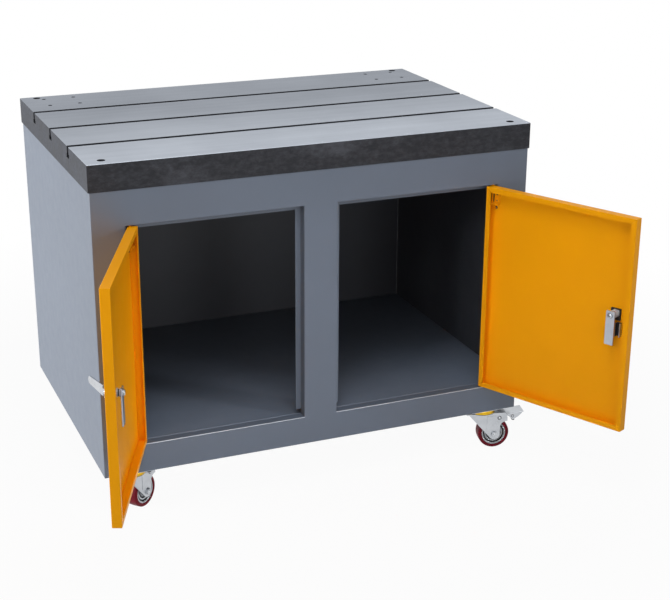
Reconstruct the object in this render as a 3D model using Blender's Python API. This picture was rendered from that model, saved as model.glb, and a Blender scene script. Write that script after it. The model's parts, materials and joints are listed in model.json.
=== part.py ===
"""Threading machine stand: a T-slotted table on a two-door cabinet that rolls on four braked casters.

Metres, +Z up. X runs along the table, -Y is the front, and the origin is the point on the floor
under the middle of the cabinet. The doors stand open, their locks turned and their levers out.
"""
import math

import bmesh
import bpy
from mathutils import Vector

# Table plate
TABLE_WIDTH = 1.000
TABLE_DEPTH = 0.667
TABLE_THICK = 0.058
SLOT_PITCH = 0.169
SLOT_NECK = 0.014
SLOT_HEAD = 0.023
SLOT_HEAD_HEIGHT = 0.009
SLOT_DEPTH = 0.025
BOLT_FROM_END = 0.037
BOLT_FROM_FRONT = 0.028
BOLT_FROM_BACK = 0.0155
BOLT_DIAMETER = 0.010
BOLT_HEAD_DIAMETER = 0.016
BOLT_HEAD_HEIGHT = 0.010
BOLT_SEAT = 0.020
BOLT_PROUD = 0.005
SOCKET_DIAMETER = 0.008
SOCKET_DEPTH = 0.005
BOLT_PLAY = 0.0004
ARM_HOLE_PITCH = 0.070
ARM_HOLE_FROM_END = 0.0505
ARM_HOLE_FROM_BACK = 0.033
ARM_HOLE_DIAMETER = 0.009
ARM_HOLE_DEPTH = 0.030

# Cabinet shell
CABINET_HEIGHT = 0.630
SIDE_OVERHANG = 0.003
FRONT_OVERHANG = 0.0015
SHEET = 0.002
JOIN = 0.0003
BASE_THICK = 0.003
CENTRE_STILE = 0.078
SIDE_STILE = 0.071
HEADER = 0.076
BOTTOM_RAIL = 0.065
STOP_LIP = 0.012
LIP_CUTAWAY = 0.012
ANGLE_WIDTH = 0.050
ANGLE_HEIGHT = 0.040
ANGLE_THICK = 0.004

# Doors
DOOR_DEPTH = 0.020
DOOR_SHEET = 0.0015
DOOR_LIP = 0.012
DOOR_STOP_GAP = 0.002
HINGE_GAP = 0.003
LATCH_GAP = 0.005
DOOR_END_GAP = 0.003
PIVOT_FROM_EDGE = 0.007
PIVOT_FROM_FACE = 0.005
LEFT_DOOR_OPEN = math.radians(112.8)
RIGHT_DOOR_OPEN = math.radians(116.1)
PIN_DIAMETER = 0.005
PIN_PLAY = 0.0004
PIN_ENGAGEMENT = 0.006
PIN_LENGTH = 0.048
PIN_BEND = 0.007
PIN_HANDLE = 0.009
PIN_HANDLE_DROP = math.radians(40)
GUIDE_WIDTH = 0.016
GUIDE_HEIGHT = 0.028
GUIDE_REACH = 0.012
GUIDE_THICK = 0.002

# Door locks
LOCK_FROM_EDGE = 0.041
LOCK_FROM_TOP = 0.2195
SPINDLE_DIAMETER = 0.018
SPINDLE_PLAY = 0.0004
SPINDLE_HEAD_DIAMETER = 0.021
SPINDLE_HEAD_HEIGHT = 0.0046
BEZEL_WIDTH = 0.030
BEZEL_THICK = 0.0015
BEZEL_ABOVE = 0.017
BEZEL_CORNER = 0.006
BODY_WIDTH = 0.0232
BODY_ABOVE = 0.0100
BODY_BELOW = 0.0155
BODY_DEPTH = 0.006
BODY_PLAY = 0.0004
LEVER_LENGTH = 0.077
LEVER_WIDTH = 0.022
LEVER_THICK = 0.0035
LEVER_RISE = 0.0010
LEVER_HEIGHT = 0.0035
LEVER_ROOT_WIDTH = 0.010
LEVER_PLAY = 0.0003
LEVER_PIVOT_DIAMETER = 0.003
LEVER_EYE_DIAMETER = 0.005
LEVER_SHOULDER_GAP = 0.001
LEVER_TIP_GAP = 0.004
LEVER_TIP_WIDTH = 0.016
LEVER_OUT = math.radians(33)
BUTTON_WIDTH = 0.012
BUTTON_LENGTH = 0.008
BUTTON_HEIGHT = 0.0024
BUTTON_TRAVEL = 0.0012
BUTTON_PROUD = 0.0006
BUTTON_BLOCK = 0.018
BLOCK_HEIGHT = 0.0042
BUTTON_PLAY = 0.0003
BUTTON_CORNER = 0.0013
CAM_LENGTH = 0.077
CAM_ABOVE = 0.0105
CAM_WIDTH = 0.021
CAM_THICK = 0.003
CAM_CLEARANCE = 0.0005
CAM_CORNER = 0.0018
CAM_BOLT_DIAMETER = 0.006
CAM_BOLT_HEAD = 0.011
CAM_BOLT_HEAD_HEIGHT = 0.0042
CAM_BOLT_BEVEL = 0.0018
CAM_BOLT_GRIP = 0.010
CLIP_WIDTH = 0.0125
CLIP_LENGTH = 0.031
CLIP_HEIGHT = 0.010
CLIP_SHEET = 0.0022
CLIP_ASIDE = 0.0047
CLIP_BELOW = 0.0043
STUD_DIAMETER = 0.006
STUD_PROUD = 0.003

# Casters
WHEEL_DIAMETER = 0.075
WHEEL_WIDTH = 0.032
TREAD_THICK = 0.00875
RIM_WALL = 0.00575
CORE_LIP = 0.0018
HUB_DIAMETER = 0.021
WEB_WIDTH = 0.018
TREAD_SHOULDER = 0.0035
AXLE_DIAMETER = 0.008
AXLE_HEAD_DIAMETER = 0.015
AXLE_HEAD_HEIGHT = 0.005
AXLE_HEAD_BEVEL = 0.0015
AXLE_PLAY = 0.0005
HUB_SIDE_PLAY = 0.0004
FORK_SIDE_GAP = 0.003
FORK_SHEET = 0.0025
FORK_FRONT = 0.036
CROWN_FRONT = 0.041
FORK_BACK = 0.020
FORK_BOSS = 0.0135
FORK_WAIST = 0.0185
CROWN_CLEARANCE = 0.0141
CROWN_THICK = 0.003
RING_DIAMETER = 0.062
RING_HEIGHT = 0.0095
RING_BEVEL = 0.0025
KINGPIN_DIAMETER = 0.012
KINGPIN_HEAD = 0.020
KINGPIN_PLAY = 0.0005
PLATE_LENGTH = 0.088
PLATE_WIDTH = 0.064
PLATE_THICK = 0.0035
PLATE_HOLE = 0.009
PLATE_HOLE_INSET = 0.010
PLATE_CORNER = 0.005
TRAIL = 0.028
CASTER_FROM_SIDE = 0.067
CASTER_FROM_FRONT = 0.037
PEDAL_PIVOT_BACK = 0.011
PEDAL_PIVOT_CLEARANCE = 0.006
PEDAL_PIVOT_DIAMETER = 0.006
PEDAL_BARREL = 0.009
PEDAL_REACH = 0.060
PEDAL_RISE = 0.0125
PEDAL_KNEE = 0.024
PEDAL_KNEE_RISE = 0.0076
FOOT_REACH = 0.037
FOOT_DROP = 0.008
SHOE_REACH = 0.0135
SHOE_DROP = 0.0079
PEDAL_SHEET = 0.0025
PEDAL_SIDE_GAP = 0.0015
RIVET_HEAD = 0.010
RIVET_HEIGHT = 0.002
CASTER_TURNS = {
    "front_left": math.radians(39.2),
    "front_right": math.radians(-13.7),
    "rear_left": math.radians(24.0),
    "rear_right": math.radians(-31.0),
}

ROUND = 24
SMALL_ROUND = 12

# Levels and places that follow from the sizes above
CASTER_HEIGHT = WHEEL_DIAMETER + CROWN_CLEARANCE + CROWN_THICK + RING_HEIGHT + PLATE_THICK + 3 * JOIN
CABINET_BOTTOM = CASTER_HEIGHT
CABINET_TOP = CABINET_BOTTOM + CABINET_HEIGHT
TABLE_BOTTOM = CABINET_TOP + JOIN
TABLE_TOP = TABLE_BOTTOM + TABLE_THICK
CABINET_HALF = TABLE_WIDTH / 2 - SIDE_OVERHANG
CABINET_FRONT = -TABLE_DEPTH / 2 + FRONT_OVERHANG
CABINET_BACK = TABLE_DEPTH / 2 - FRONT_OVERHANG
INNER_HALF = CABINET_HALF - SHEET - JOIN
INNER_FRONT = CABINET_FRONT + SHEET + JOIN
INNER_BACK = CABINET_BACK - SHEET - JOIN
SILL = CABINET_BOTTOM + BOTTOM_RAIL
LINTEL = CABINET_TOP - HEADER
OPENING_INNER = CENTRE_STILE / 2
OPENING_OUTER = CABINET_HALF - SIDE_STILE
JAMB_DEPTH = DOOR_DEPTH + DOOR_STOP_GAP
DOOR_WIDTH = OPENING_OUTER - OPENING_INNER - HINGE_GAP - LATCH_GAP
DOOR_BOTTOM = SILL + DOOR_END_GAP
DOOR_TOP = LINTEL - DOOR_END_GAP
PIVOT_X = OPENING_OUTER - HINGE_GAP - PIVOT_FROM_EDGE
PIVOT_Y = CABINET_FRONT + PIVOT_FROM_FACE
LOCK_X = DOOR_WIDTH - PIVOT_FROM_EDGE - LOCK_FROM_EDGE
LOCK_Z = DOOR_TOP - LOCK_FROM_TOP
SKIN_INSIDE = DOOR_SHEET - PIVOT_FROM_FACE
PIN_HOLE = PIN_DIAMETER / 2 + PIN_PLAY
HEAD_FOOT = BEZEL_THICK + 2 * JOIN
SLOT_FLOOR = LEVER_HEIGHT - LEVER_EYE_DIAMETER / 2 - LEVER_PLAY
BLOCK_START = LEVER_LENGTH + LEVER_TIP_GAP
BEZEL_BELOW = BLOCK_START + BUTTON_BLOCK
CAM_FACE = JAMB_DEPTH + SHEET + CAM_CLEARANCE
CLIP_X = BODY_WIDTH / 2 - CLIP_WIDTH / 2 + CLIP_ASIDE
CLIP_TOP = -BODY_BELOW - CLIP_BELOW
STUD_Z = CLIP_TOP - CLIP_LENGTH / 2
WHEEL_RADIUS = WHEEL_DIAMETER / 2
CORE_RADIUS = WHEEL_RADIUS - TREAD_THICK
DISH_RADIUS = CORE_RADIUS - RIM_WALL
CROWN_BOTTOM = WHEEL_DIAMETER + CROWN_CLEARANCE
CROWN_TOP = CROWN_BOTTOM + CROWN_THICK
RING_BOTTOM = CROWN_TOP + JOIN
RING_TOP = RING_BOTTOM + RING_HEIGHT
PLATE_BOTTOM = RING_TOP + JOIN
LEG_INSIDE = WHEEL_WIDTH / 2 + FORK_SIDE_GAP
LEG_OUTSIDE = LEG_INSIDE + FORK_SHEET
PEDAL_X = TRAIL + PEDAL_PIVOT_BACK
PEDAL_Z = WHEEL_RADIUS + math.sqrt((WHEEL_RADIUS + PEDAL_PIVOT_CLEARANCE) ** 2 - PEDAL_PIVOT_BACK ** 2)


def clear_scene():
    for old in list(bpy.data.objects):
        bpy.data.objects.remove(old, do_unlink=True)


def make_material(name, colour, roughness, metallic=0.0):
    made = bpy.data.materials.new(name)
    made.use_nodes = True
    shader = made.node_tree.nodes["Principled BSDF"]
    shader.inputs["Base Color"].default_value = (*colour, 1.0)
    shader.inputs["Roughness"].default_value = roughness
    shader.inputs["Metallic"].default_value = metallic
    made.diffuse_color = (*colour, 1.0)
    return made


clear_scene()
CAST_STEEL = make_material("cast_steel", (0.28, 0.30, 0.33), 0.45, 1.0)
GREY_PAINT = make_material("grey_paint", (0.27, 0.30, 0.35), 0.45)
ORANGE_PAINT = make_material("orange_paint", (0.78, 0.30, 0.004), 0.35)
ZINC = make_material("zinc_plate", (0.62, 0.64, 0.66), 0.35, 1.0)
CHROME = make_material("chrome", (0.75, 0.76, 0.78), 0.15, 1.0)
BLACK_STEEL = make_material("black_steel", (0.02, 0.02, 0.022), 0.5, 0.6)
YELLOW_RING = make_material("yellow_ring", (0.70, 0.42, 0.01), 0.4)
RED_TREAD = make_material("red_tread", (0.16, 0.006, 0.012), 0.35)
GREY_CORE = make_material("grey_core", (0.45, 0.47, 0.49), 0.45)


def make_empty(name, parent=None, location=(0, 0, 0), turn=0.0):
    empty = bpy.data.objects.new(name, None)
    bpy.context.collection.objects.link(empty)
    empty.parent = parent
    empty.location = location
    empty.rotation_euler = (0, 0, turn)
    return empty


def make_object(name, shape, material=None, parent=None, location=(0, 0, 0), turn=(0, 0, 0), smooth=None):
    bmesh.ops.recalc_face_normals(shape, faces=shape.faces)
    mesh = bpy.data.meshes.new(name)
    shape.to_mesh(mesh)
    shape.free()
    made = bpy.data.objects.new(name, mesh)
    bpy.context.collection.objects.link(made)
    made.parent = parent
    made.location = location
    made.rotation_euler = turn
    if material:
        mesh.materials.append(material)
    if smooth:
        mesh.shade_smooth()
        mesh.set_sharp_from_angle(angle=smooth)
    return made


def make_boolean(target, tool_shape, operation="DIFFERENCE"):
    """Cut or join a shape given in the target's own frame."""
    tool = make_object(target.name + "." + operation.lower(), tool_shape, None, target.parent,
                       target.location, target.rotation_euler)
    tool.hide_render = True
    tool.display_type = "WIRE"
    step = target.modifiers.new(operation.lower(), "BOOLEAN")
    step.operation = operation
    step.solver = "EXACT"
    step.object = tool


def add_box(shape, low, high):
    corners = []
    for x in (low[0], high[0]):
        for y in (low[1], high[1]):
            for z in (low[2], high[2]):
                corners.append(shape.verts.new((x, y, z)))
    for a, b, c, d in ((0, 1, 3, 2), (4, 6, 7, 5), (0, 4, 5, 1), (2, 3, 7, 6), (0, 2, 6, 4), (1, 5, 7, 3)):
        shape.faces.new((corners[a], corners[b], corners[c], corners[d]))
    return shape


def point_on(axis, along, first, second):
    if axis == "X":
        return Vector((along, first, second))
    if axis == "Y":
        return Vector((first, along, second))
    return Vector((first, second, along))


def add_prism(shape, outline, axis, low, high):
    """A closed outline in the plane square to an axis, drawn out along that axis."""
    ends = []
    for along in (low, high):
        ends.append([shape.verts.new(point_on(axis, along, a, b)) for a, b in outline])
    shape.faces.new(ends[0])
    shape.faces.new(ends[1][::-1])
    count = len(outline)
    for i in range(count):
        after = (i + 1) % count
        shape.faces.new((ends[0][i], ends[0][after], ends[1][after], ends[1][i]))
    return shape


def add_turned(shape, profile, axis, steps, centre=(0, 0, 0), hollow=False):
    """A profile of (radius, height) points turned round an axis; hollow profiles close on themselves."""
    centre = Vector(centre)
    rings = []
    for radius, height in profile:
        if radius == 0:
            rings.append([shape.verts.new(centre + point_on(axis, height, 0, 0))])
            continue
        ring = []
        for i in range(steps):
            angle = 2 * math.pi * (i + 0.5) / steps
            ring.append(shape.verts.new(
                centre + point_on(axis, height, radius * math.cos(angle), radius * math.sin(angle))))
        rings.append(ring)
    pairs = list(zip(rings, rings[1:]))
    if hollow:
        pairs.append((rings[-1], rings[0]))
    for lower, upper in pairs:
        for i in range(steps):
            after = (i + 1) % steps
            corners = [lower[i % len(lower)], lower[after % len(lower)],
                       upper[after % len(upper)], upper[i % len(upper)]]
            shape.faces.new(list(dict.fromkeys(corners)))
    return shape


def add_rod(shape, radius, axis, low, high, centre=(0, 0, 0), steps=SMALL_ROUND):
    profile = [(0, low), (radius, low), (radius, high), (0, high)]
    return add_turned(shape, profile, axis, steps, centre)


def arc_points(centre, radius, start, end, steps):
    points = []
    for i in range(steps + 1):
        angle = start + (end - start) * i / steps
        points.append((centre[0] + radius * math.cos(angle), centre[1] + radius * math.sin(angle)))
    return points


def rounded_box(left, right, bottom, top, radius, steps=3):
    quarter = math.pi / 2
    points = arc_points((right - radius, top - radius), radius, 0, quarter, steps)
    points += arc_points((left + radius, top - radius), radius, quarter, 2 * quarter, steps)
    points += arc_points((left + radius, bottom + radius), radius, 2 * quarter, 3 * quarter, steps)
    points += arc_points((right - radius, bottom + radius), radius, 3 * quarter, 4 * quarter, steps)
    return points


def join_rings(shape, rings):
    for lower, upper in zip(rings, rings[1:]):
        for i in range(4):
            after = (i + 1) % 4
            shape.faces.new((lower[i], lower[after], upper[after], upper[i]))


def rect_ring(shape, left, right, bottom, top, depth):
    corners = ((left, bottom), (right, bottom), (right, top), (left, top))
    return [shape.verts.new((x, depth, z)) for x, z in corners]


# Table plate

def table_bolt_places():
    x = TABLE_WIDTH / 2 - BOLT_FROM_END
    front = -TABLE_DEPTH / 2 + BOLT_FROM_FRONT
    back = TABLE_DEPTH / 2 - BOLT_FROM_BACK
    return {
        "front_left": (-x, front),
        "front_right": (x, front),
        "rear_left": (-x, back),
        "rear_right": (x, back),
    }


def arm_hole_places():
    places = []
    for side in (-1, 1):
        for column in (0, 1):
            for row in (0, 1):
                x = side * (TABLE_WIDTH / 2 - ARM_HOLE_FROM_END - column * ARM_HOLE_PITCH)
                y = TABLE_DEPTH / 2 - ARM_HOLE_FROM_BACK - row * ARM_HOLE_PITCH
                places.append((x, y))
    return places


def slotted_outline():
    points = [(-TABLE_DEPTH / 2, TABLE_BOTTOM), (TABLE_DEPTH / 2, TABLE_BOTTOM), (TABLE_DEPTH / 2, TABLE_TOP)]
    head_top = TABLE_TOP - SLOT_DEPTH + SLOT_HEAD_HEIGHT
    floor = TABLE_TOP - SLOT_DEPTH
    for middle in (SLOT_PITCH, 0, -SLOT_PITCH):
        half_slot = [(SLOT_NECK / 2, TABLE_TOP), (SLOT_NECK / 2, head_top), (SLOT_HEAD / 2, head_top),
                     (SLOT_HEAD / 2, floor)]
        points += [(middle + y, z) for y, z in half_slot]
        points += [(middle - y, z) for y, z in reversed(half_slot)]
    points.append((-TABLE_DEPTH / 2, TABLE_TOP))
    return points


def build_table():
    plate = make_object("table_plate", add_prism(bmesh.new(), slotted_outline(), "X",
                                                 -TABLE_WIDTH / 2, TABLE_WIDTH / 2), CAST_STEEL)
    holes = bmesh.new()
    beyond = 0.005
    seat = TABLE_BOTTOM + BOLT_SEAT
    for x, y in table_bolt_places().values():
        shank = BOLT_DIAMETER / 2 + BOLT_PLAY
        head = BOLT_HEAD_DIAMETER / 2 + BOLT_PLAY
        profile = [(0, TABLE_TOP + beyond), (head, TABLE_TOP + beyond), (head, seat), (shank, seat),
                   (shank, TABLE_BOTTOM - beyond), (0, TABLE_BOTTOM - beyond)]
        add_turned(holes, profile, "Z", SMALL_ROUND, (x, y, 0))
    for x, y in arm_hole_places():
        add_rod(holes, ARM_HOLE_DIAMETER / 2, "Z", TABLE_TOP - ARM_HOLE_DEPTH, TABLE_TOP + beyond, (x, y, 0))
    make_boolean(plate, holes)
    for name, (x, y) in table_bolt_places().items():
        build_table_bolt("table_bolt_" + name, x, y)


def build_table_bolt(name, x, y):
    """A socket head screw down through the plate into the angle frame."""
    seat = TABLE_BOTTOM + BOLT_SEAT + JOIN
    tip = CABINET_TOP - ANGLE_THICK - BOLT_PROUD
    socket = SOCKET_DIAMETER / 2
    head_top = seat + BOLT_HEAD_HEIGHT
    profile = [(0, tip), (BOLT_DIAMETER / 2, tip), (BOLT_DIAMETER / 2, seat), (BOLT_HEAD_DIAMETER / 2, seat),
               (BOLT_HEAD_DIAMETER / 2, head_top), (socket, head_top), (socket, head_top - SOCKET_DEPTH),
               (0, head_top - SOCKET_DEPTH)]
    make_object(name, add_turned(bmesh.new(), profile, "Z", SMALL_ROUND), BLACK_STEEL, None, (x, y, 0),
                smooth=math.radians(40))


# Cabinet shell

def build_angle_frame():
    """The welded angle-iron ring in the top of the cabinet that carries the plate."""
    top = CABINET_TOP - JOIN
    shape = bmesh.new()
    outer = (-INNER_HALF, INNER_HALF, INNER_FRONT, INNER_BACK)
    under = top - ANGLE_THICK
    foot = top - ANGLE_HEIGHT
    levels = ((0, top), (ANGLE_WIDTH, top), (ANGLE_WIDTH, under), (ANGLE_THICK, under), (ANGLE_THICK, foot),
              (0, foot))
    rings = []
    for inset, z in levels:
        corners = ((outer[0] + inset, outer[2] + inset), (outer[1] - inset, outer[2] + inset),
                   (outer[1] - inset, outer[3] - inset), (outer[0] + inset, outer[3] - inset))
        rings.append([shape.verts.new((x, y, z)) for x, y in corners])
    join_rings(shape, rings + rings[:1])
    frame = make_object("angle_frame", shape, BLACK_STEEL)
    holes = bmesh.new()
    for x, y in table_bolt_places().values():
        radius = BOLT_DIAMETER / 2 + BOLT_PLAY
        add_rod(holes, radius, "Z", top - 2 * ANGLE_THICK, top + ANGLE_THICK, (x, y, 0))
    make_boolean(frame, holes)


def build_side(name, side):
    edge = sorted((side * CABINET_HALF, side * (CABINET_HALF - SHEET)))
    shape = add_box(bmesh.new(), (edge[0], INNER_FRONT, CABINET_BOTTOM), (edge[1], CABINET_BACK, CABINET_TOP))
    make_object(name, shape, GREY_PAINT)


def build_back_and_base():
    back = add_box(bmesh.new(), (-INNER_HALF, CABINET_BACK - SHEET, CABINET_BOTTOM),
                   (INNER_HALF, CABINET_BACK, CABINET_TOP))
    make_object("back_panel", back, GREY_PAINT)
    base = add_box(bmesh.new(), (-INNER_HALF, INNER_FRONT, CABINET_BOTTOM),
                   (INNER_HALF, INNER_BACK, CABINET_BOTTOM + BASE_THICK))
    make_object("base_plate", base, GREY_PAINT)


def build_floor():
    """The inside floor: a pan turned upside down that stands on the base plate, level with the sill."""
    front = CABINET_FRONT + JAMB_DEPTH + SHEET + JOIN
    foot = CABINET_BOTTOM + BASE_THICK + JOIN
    shape = bmesh.new()
    rings = []
    for inset, z in ((0, SILL), (0, foot), (SHEET, foot), (SHEET, SILL - SHEET)):
        corners = ((-INNER_HALF + inset, front + inset), (INNER_HALF - inset, front + inset),
                   (INNER_HALF - inset, INNER_BACK - inset), (-INNER_HALF + inset, INNER_BACK - inset))
        rings.append([shape.verts.new((x, y, z)) for x, y in corners])
    join_rings(shape, rings)
    shape.faces.new(rings[0])
    shape.faces.new(rings[-1])
    make_object("cabinet_floor", shape, GREY_PAINT)


def frame_grid(shape, grow, depth):
    """One face of the front sheet: a grid of corners whose openings are grown by the sheet's thickness."""
    columns = (-CABINET_HALF, -OPENING_OUTER - grow, -OPENING_INNER + grow, OPENING_INNER - grow,
               OPENING_OUTER + grow, CABINET_HALF)
    rows = (CABINET_BOTTOM, SILL - grow, LINTEL + grow, CABINET_TOP)
    return [[shape.verts.new((x, depth, z)) for z in rows] for x in columns]


def cell_corners(grid, column, row):
    return [grid[column][row], grid[column + 1][row], grid[column + 1][row + 1], grid[column][row + 1]]


def add_frame_edge(shape, face, back):
    bottom = [(face[i][0], back[i][0]) for i in range(len(face))]
    top = [(face[i][-1], back[i][-1]) for i in range(len(face))]
    left = list(zip(face[0], back[0]))
    right = list(zip(face[-1], back[-1]))
    for side in (bottom, top, left, right):
        for (a, b), (c, d) in zip(side, side[1:]):
            shape.faces.new((a, c, d, b))


def build_front_frame():
    """The folded front sheet: two openings with jambs turned in and a stop lip round each."""
    shape = bmesh.new()
    face = frame_grid(shape, 0, CABINET_FRONT)
    back = frame_grid(shape, SHEET, CABINET_FRONT + SHEET)
    openings = ((1, 1), (3, 1))
    for column in range(5):
        for row in range(3):
            if (column, row) not in openings:
                shape.faces.new(cell_corners(face, column, row))
                shape.faces.new(cell_corners(back, column, row))
    add_frame_edge(shape, face, back)
    stop = CABINET_FRONT + JAMB_DEPTH
    for column, row in openings:
        left, right = ((-OPENING_OUTER, -OPENING_INNER), (OPENING_INNER, OPENING_OUTER))[column // 2]
        rings = [cell_corners(face, column, row)]
        for inset, depth in ((0, stop), (STOP_LIP, stop), (STOP_LIP, stop + SHEET), (-SHEET, stop + SHEET)):
            rings.append(rect_ring(shape, left + inset, right - inset, SILL + inset, LINTEL - inset, depth))
        rings.append(cell_corners(back, column, row))
        join_rings(shape, rings)
    frame = make_object("front_frame", shape, GREY_PAINT)
    make_boolean(frame, frame_cuts(stop))


def frame_cuts(stop):
    """The lip is cut away along the sill, and the sill and lintel have the hinge pins' holes."""
    cuts = bmesh.new()
    for side in (-1, 1):
        span = sorted((side * (OPENING_INNER + JOIN), side * (OPENING_OUTER - JOIN)))
        low = (span[0], stop - SHEET, SILL + JOIN)
        high = (span[1], stop + 2 * SHEET, SILL + LIP_CUTAWAY + JOIN)
        add_box(cuts, low, high)
        for middle in (SILL - SHEET / 2, LINTEL + SHEET / 2):
            add_rod(cuts, PIN_HOLE, "Z", middle - SHEET, middle + SHEET, (side * PIVOT_X, PIVOT_Y, 0))
    return cuts


# Doors

def build_door_pan(name, pivot, hand):
    """A folded pan: skin, return flanges and inner lips, with the lower hinge pin welded on."""
    near = -PIVOT_FROM_EDGE
    far = DOOR_WIDTH - PIVOT_FROM_EDGE
    outside = -PIVOT_FROM_FACE
    inside = outside + DOOR_DEPTH
    shape = bmesh.new()
    rings = []
    for inset, depth in ((0, outside), (0, inside), (DOOR_LIP, inside), (DOOR_LIP, inside - DOOR_SHEET),
                         (DOOR_SHEET, inside - DOOR_SHEET), (DOOR_SHEET, outside + DOOR_SHEET)):
        rings.append(rect_ring(shape, hand * (near + inset), hand * (far - inset),
                               DOOR_BOTTOM + inset, DOOR_TOP - inset, depth))
    join_rings(shape, rings)
    shape.faces.new(rings[0])
    shape.faces.new(rings[-1])
    pan = make_object(name, shape, ORANGE_PAINT, pivot)
    pin = add_rod(bmesh.new(), PIN_DIAMETER / 2, "Z", DOOR_BOTTOM - DOOR_END_GAP - PIN_ENGAGEMENT,
                  DOOR_BOTTOM + DOOR_SHEET / 2)
    make_boolean(pan, pin, "UNION")
    make_boolean(pan, door_cuts(hand))


def door_cuts(hand):
    cuts = bmesh.new()
    add_rod(cuts, PIN_HOLE, "Z", DOOR_TOP - 2 * DOOR_SHEET, DOOR_TOP + DOOR_SHEET)
    skin = (SKIN_INSIDE - 2 * DOOR_SHEET, SKIN_INSIDE + DOOR_SHEET)
    half = BODY_WIDTH / 2 + BODY_PLAY
    middle = hand * LOCK_X
    add_box(cuts, (middle - half, skin[0], LOCK_Z - BODY_BELOW - BODY_PLAY),
            (middle + half, skin[1], LOCK_Z + BODY_ABOVE + BODY_PLAY))
    add_rod(cuts, STUD_DIAMETER / 2 + BODY_PLAY, "Y", skin[0], skin[1],
            (hand * (LOCK_X + CLIP_X), 0, LOCK_Z + STUD_Z))
    return cuts


def pin_path(hand):
    """Straight down the hinge line, then round a bend into a short handle."""
    reach = math.pi / 2 - PIN_HANDLE_DROP
    points = [(0, DOOR_END_GAP + PIN_ENGAGEMENT), (0, -PIN_LENGTH)]
    bend = arc_points((PIN_BEND, -PIN_LENGTH), PIN_BEND, math.pi, math.pi + reach, 4)
    points += bend[1:]
    last = bend[-1]
    points.append((last[0] + PIN_HANDLE * math.sin(reach), last[1] - PIN_HANDLE * math.cos(reach)))
    return [Vector((hand * x, 0, z)) for x, z in points]


def build_hinge_pin(name, pivot, hand):
    """The upper hinge pin, which pulls down out of the lintel by its bent handle."""
    curve = bpy.data.curves.new(name, "CURVE")
    curve.dimensions = "3D"
    curve.bevel_depth = PIN_DIAMETER / 2
    curve.bevel_resolution = 2
    curve.use_fill_caps = True
    spline = curve.splines.new("POLY")
    points = pin_path(hand)
    spline.points.add(len(points) - 1)
    for slot, point in zip(spline.points, points):
        slot.co = (*point, 1.0)
    curve.materials.append(ORANGE_PAINT)
    pin = bpy.data.objects.new(name, curve)
    bpy.context.collection.objects.link(pin)
    pin.parent = pivot
    pin.location = (0, 0, DOOR_TOP)


def build_pin_guide(name, pivot, hand):
    """A foot on the door's skin with a tab that the upper hinge pin slides through."""
    top = DOOR_TOP - DOOR_LIP - JOIN
    bottom = top - GUIDE_HEIGHT
    foot = SKIN_INSIDE + JOIN
    start = PIN_HOLE + JOIN
    tab_start = DOOR_SHEET + JOIN - PIVOT_FROM_EDGE
    plate = [hand * start, hand * (start + GUIDE_WIDTH)]
    tab = [hand * tab_start, hand * (start + GUIDE_WIDTH)]
    shape = add_box(bmesh.new(), (min(plate), foot, bottom), (max(plate), foot + GUIDE_THICK, top))
    guide = make_object(name, shape, ORANGE_PAINT, pivot)
    low = (min(tab), foot, bottom)
    high = (max(tab), foot + GUIDE_REACH, bottom + GUIDE_THICK)
    shelf = add_box(bmesh.new(), low, high)
    make_boolean(guide, shelf, "UNION")
    hole = add_rod(bmesh.new(), PIN_HOLE, "Z", bottom - GUIDE_THICK, bottom + 2 * GUIDE_THICK)
    make_boolean(guide, hole)


# Door locks, in a frame on the spindle's axis where -Y points out of the door

def build_lock_housing(name, lock, hand):
    half = BEZEL_WIDTH / 2
    outline = rounded_box(-half, half, -BEZEL_BELOW, BEZEL_ABOVE, BEZEL_CORNER)
    shape = add_prism(bmesh.new(), outline, "Y", -JOIN - BEZEL_THICK, -JOIN)
    housing = make_object(name, shape, CHROME, lock)
    parts = bmesh.new()
    root = -JOIN - BEZEL_THICK / 2
    add_box(parts, (-BODY_WIDTH / 2, root, -BODY_BELOW), (BODY_WIDTH / 2, BODY_DEPTH, BODY_ABOVE))
    block = rounded_box(-half, half, -BEZEL_BELOW, -BLOCK_START, BEZEL_CORNER)
    add_prism(parts, block, "Y", -BLOCK_HEIGHT, root)
    stud_end = DOOR_SHEET + JOIN + CLIP_SHEET + STUD_PROUD
    add_rod(parts, STUD_DIAMETER / 2, "Y", root, stud_end, (hand * CLIP_X, 0, STUD_Z))
    make_boolean(housing, parts, "UNION")
    cuts = bmesh.new()
    add_rod(cuts, SPINDLE_DIAMETER / 2 + SPINDLE_PLAY, "Y", -BLOCK_HEIGHT, 2 * BODY_DEPTH, steps=ROUND)
    pocket = button_low() + BUTTON_TRAVEL + BUTTON_PLAY
    room = (BUTTON_WIDTH / 2 + BUTTON_PLAY, BUTTON_LENGTH / 2 + BUTTON_PLAY)
    low = (-room[0], -2 * BLOCK_HEIGHT, button_z() - room[1])
    high = (room[0], pocket, button_z() + room[1])
    add_box(cuts, low, high)
    make_boolean(housing, cuts)


def button_low():
    return -BLOCK_HEIGHT - BUTTON_PROUD + BUTTON_HEIGHT


def button_z():
    return -BLOCK_START - BUTTON_BLOCK / 2


def build_button(name, lock):
    half = (BUTTON_WIDTH / 2, BUTTON_LENGTH / 2)
    outline = rounded_box(-half[0], half[0], -half[1], half[1], BUTTON_CORNER, 2)
    shape = add_prism(bmesh.new(), outline, "Y", -BUTTON_HEIGHT, 0)
    make_object(name, shape, CHROME, lock, (0, button_low(), button_z()))


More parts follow.
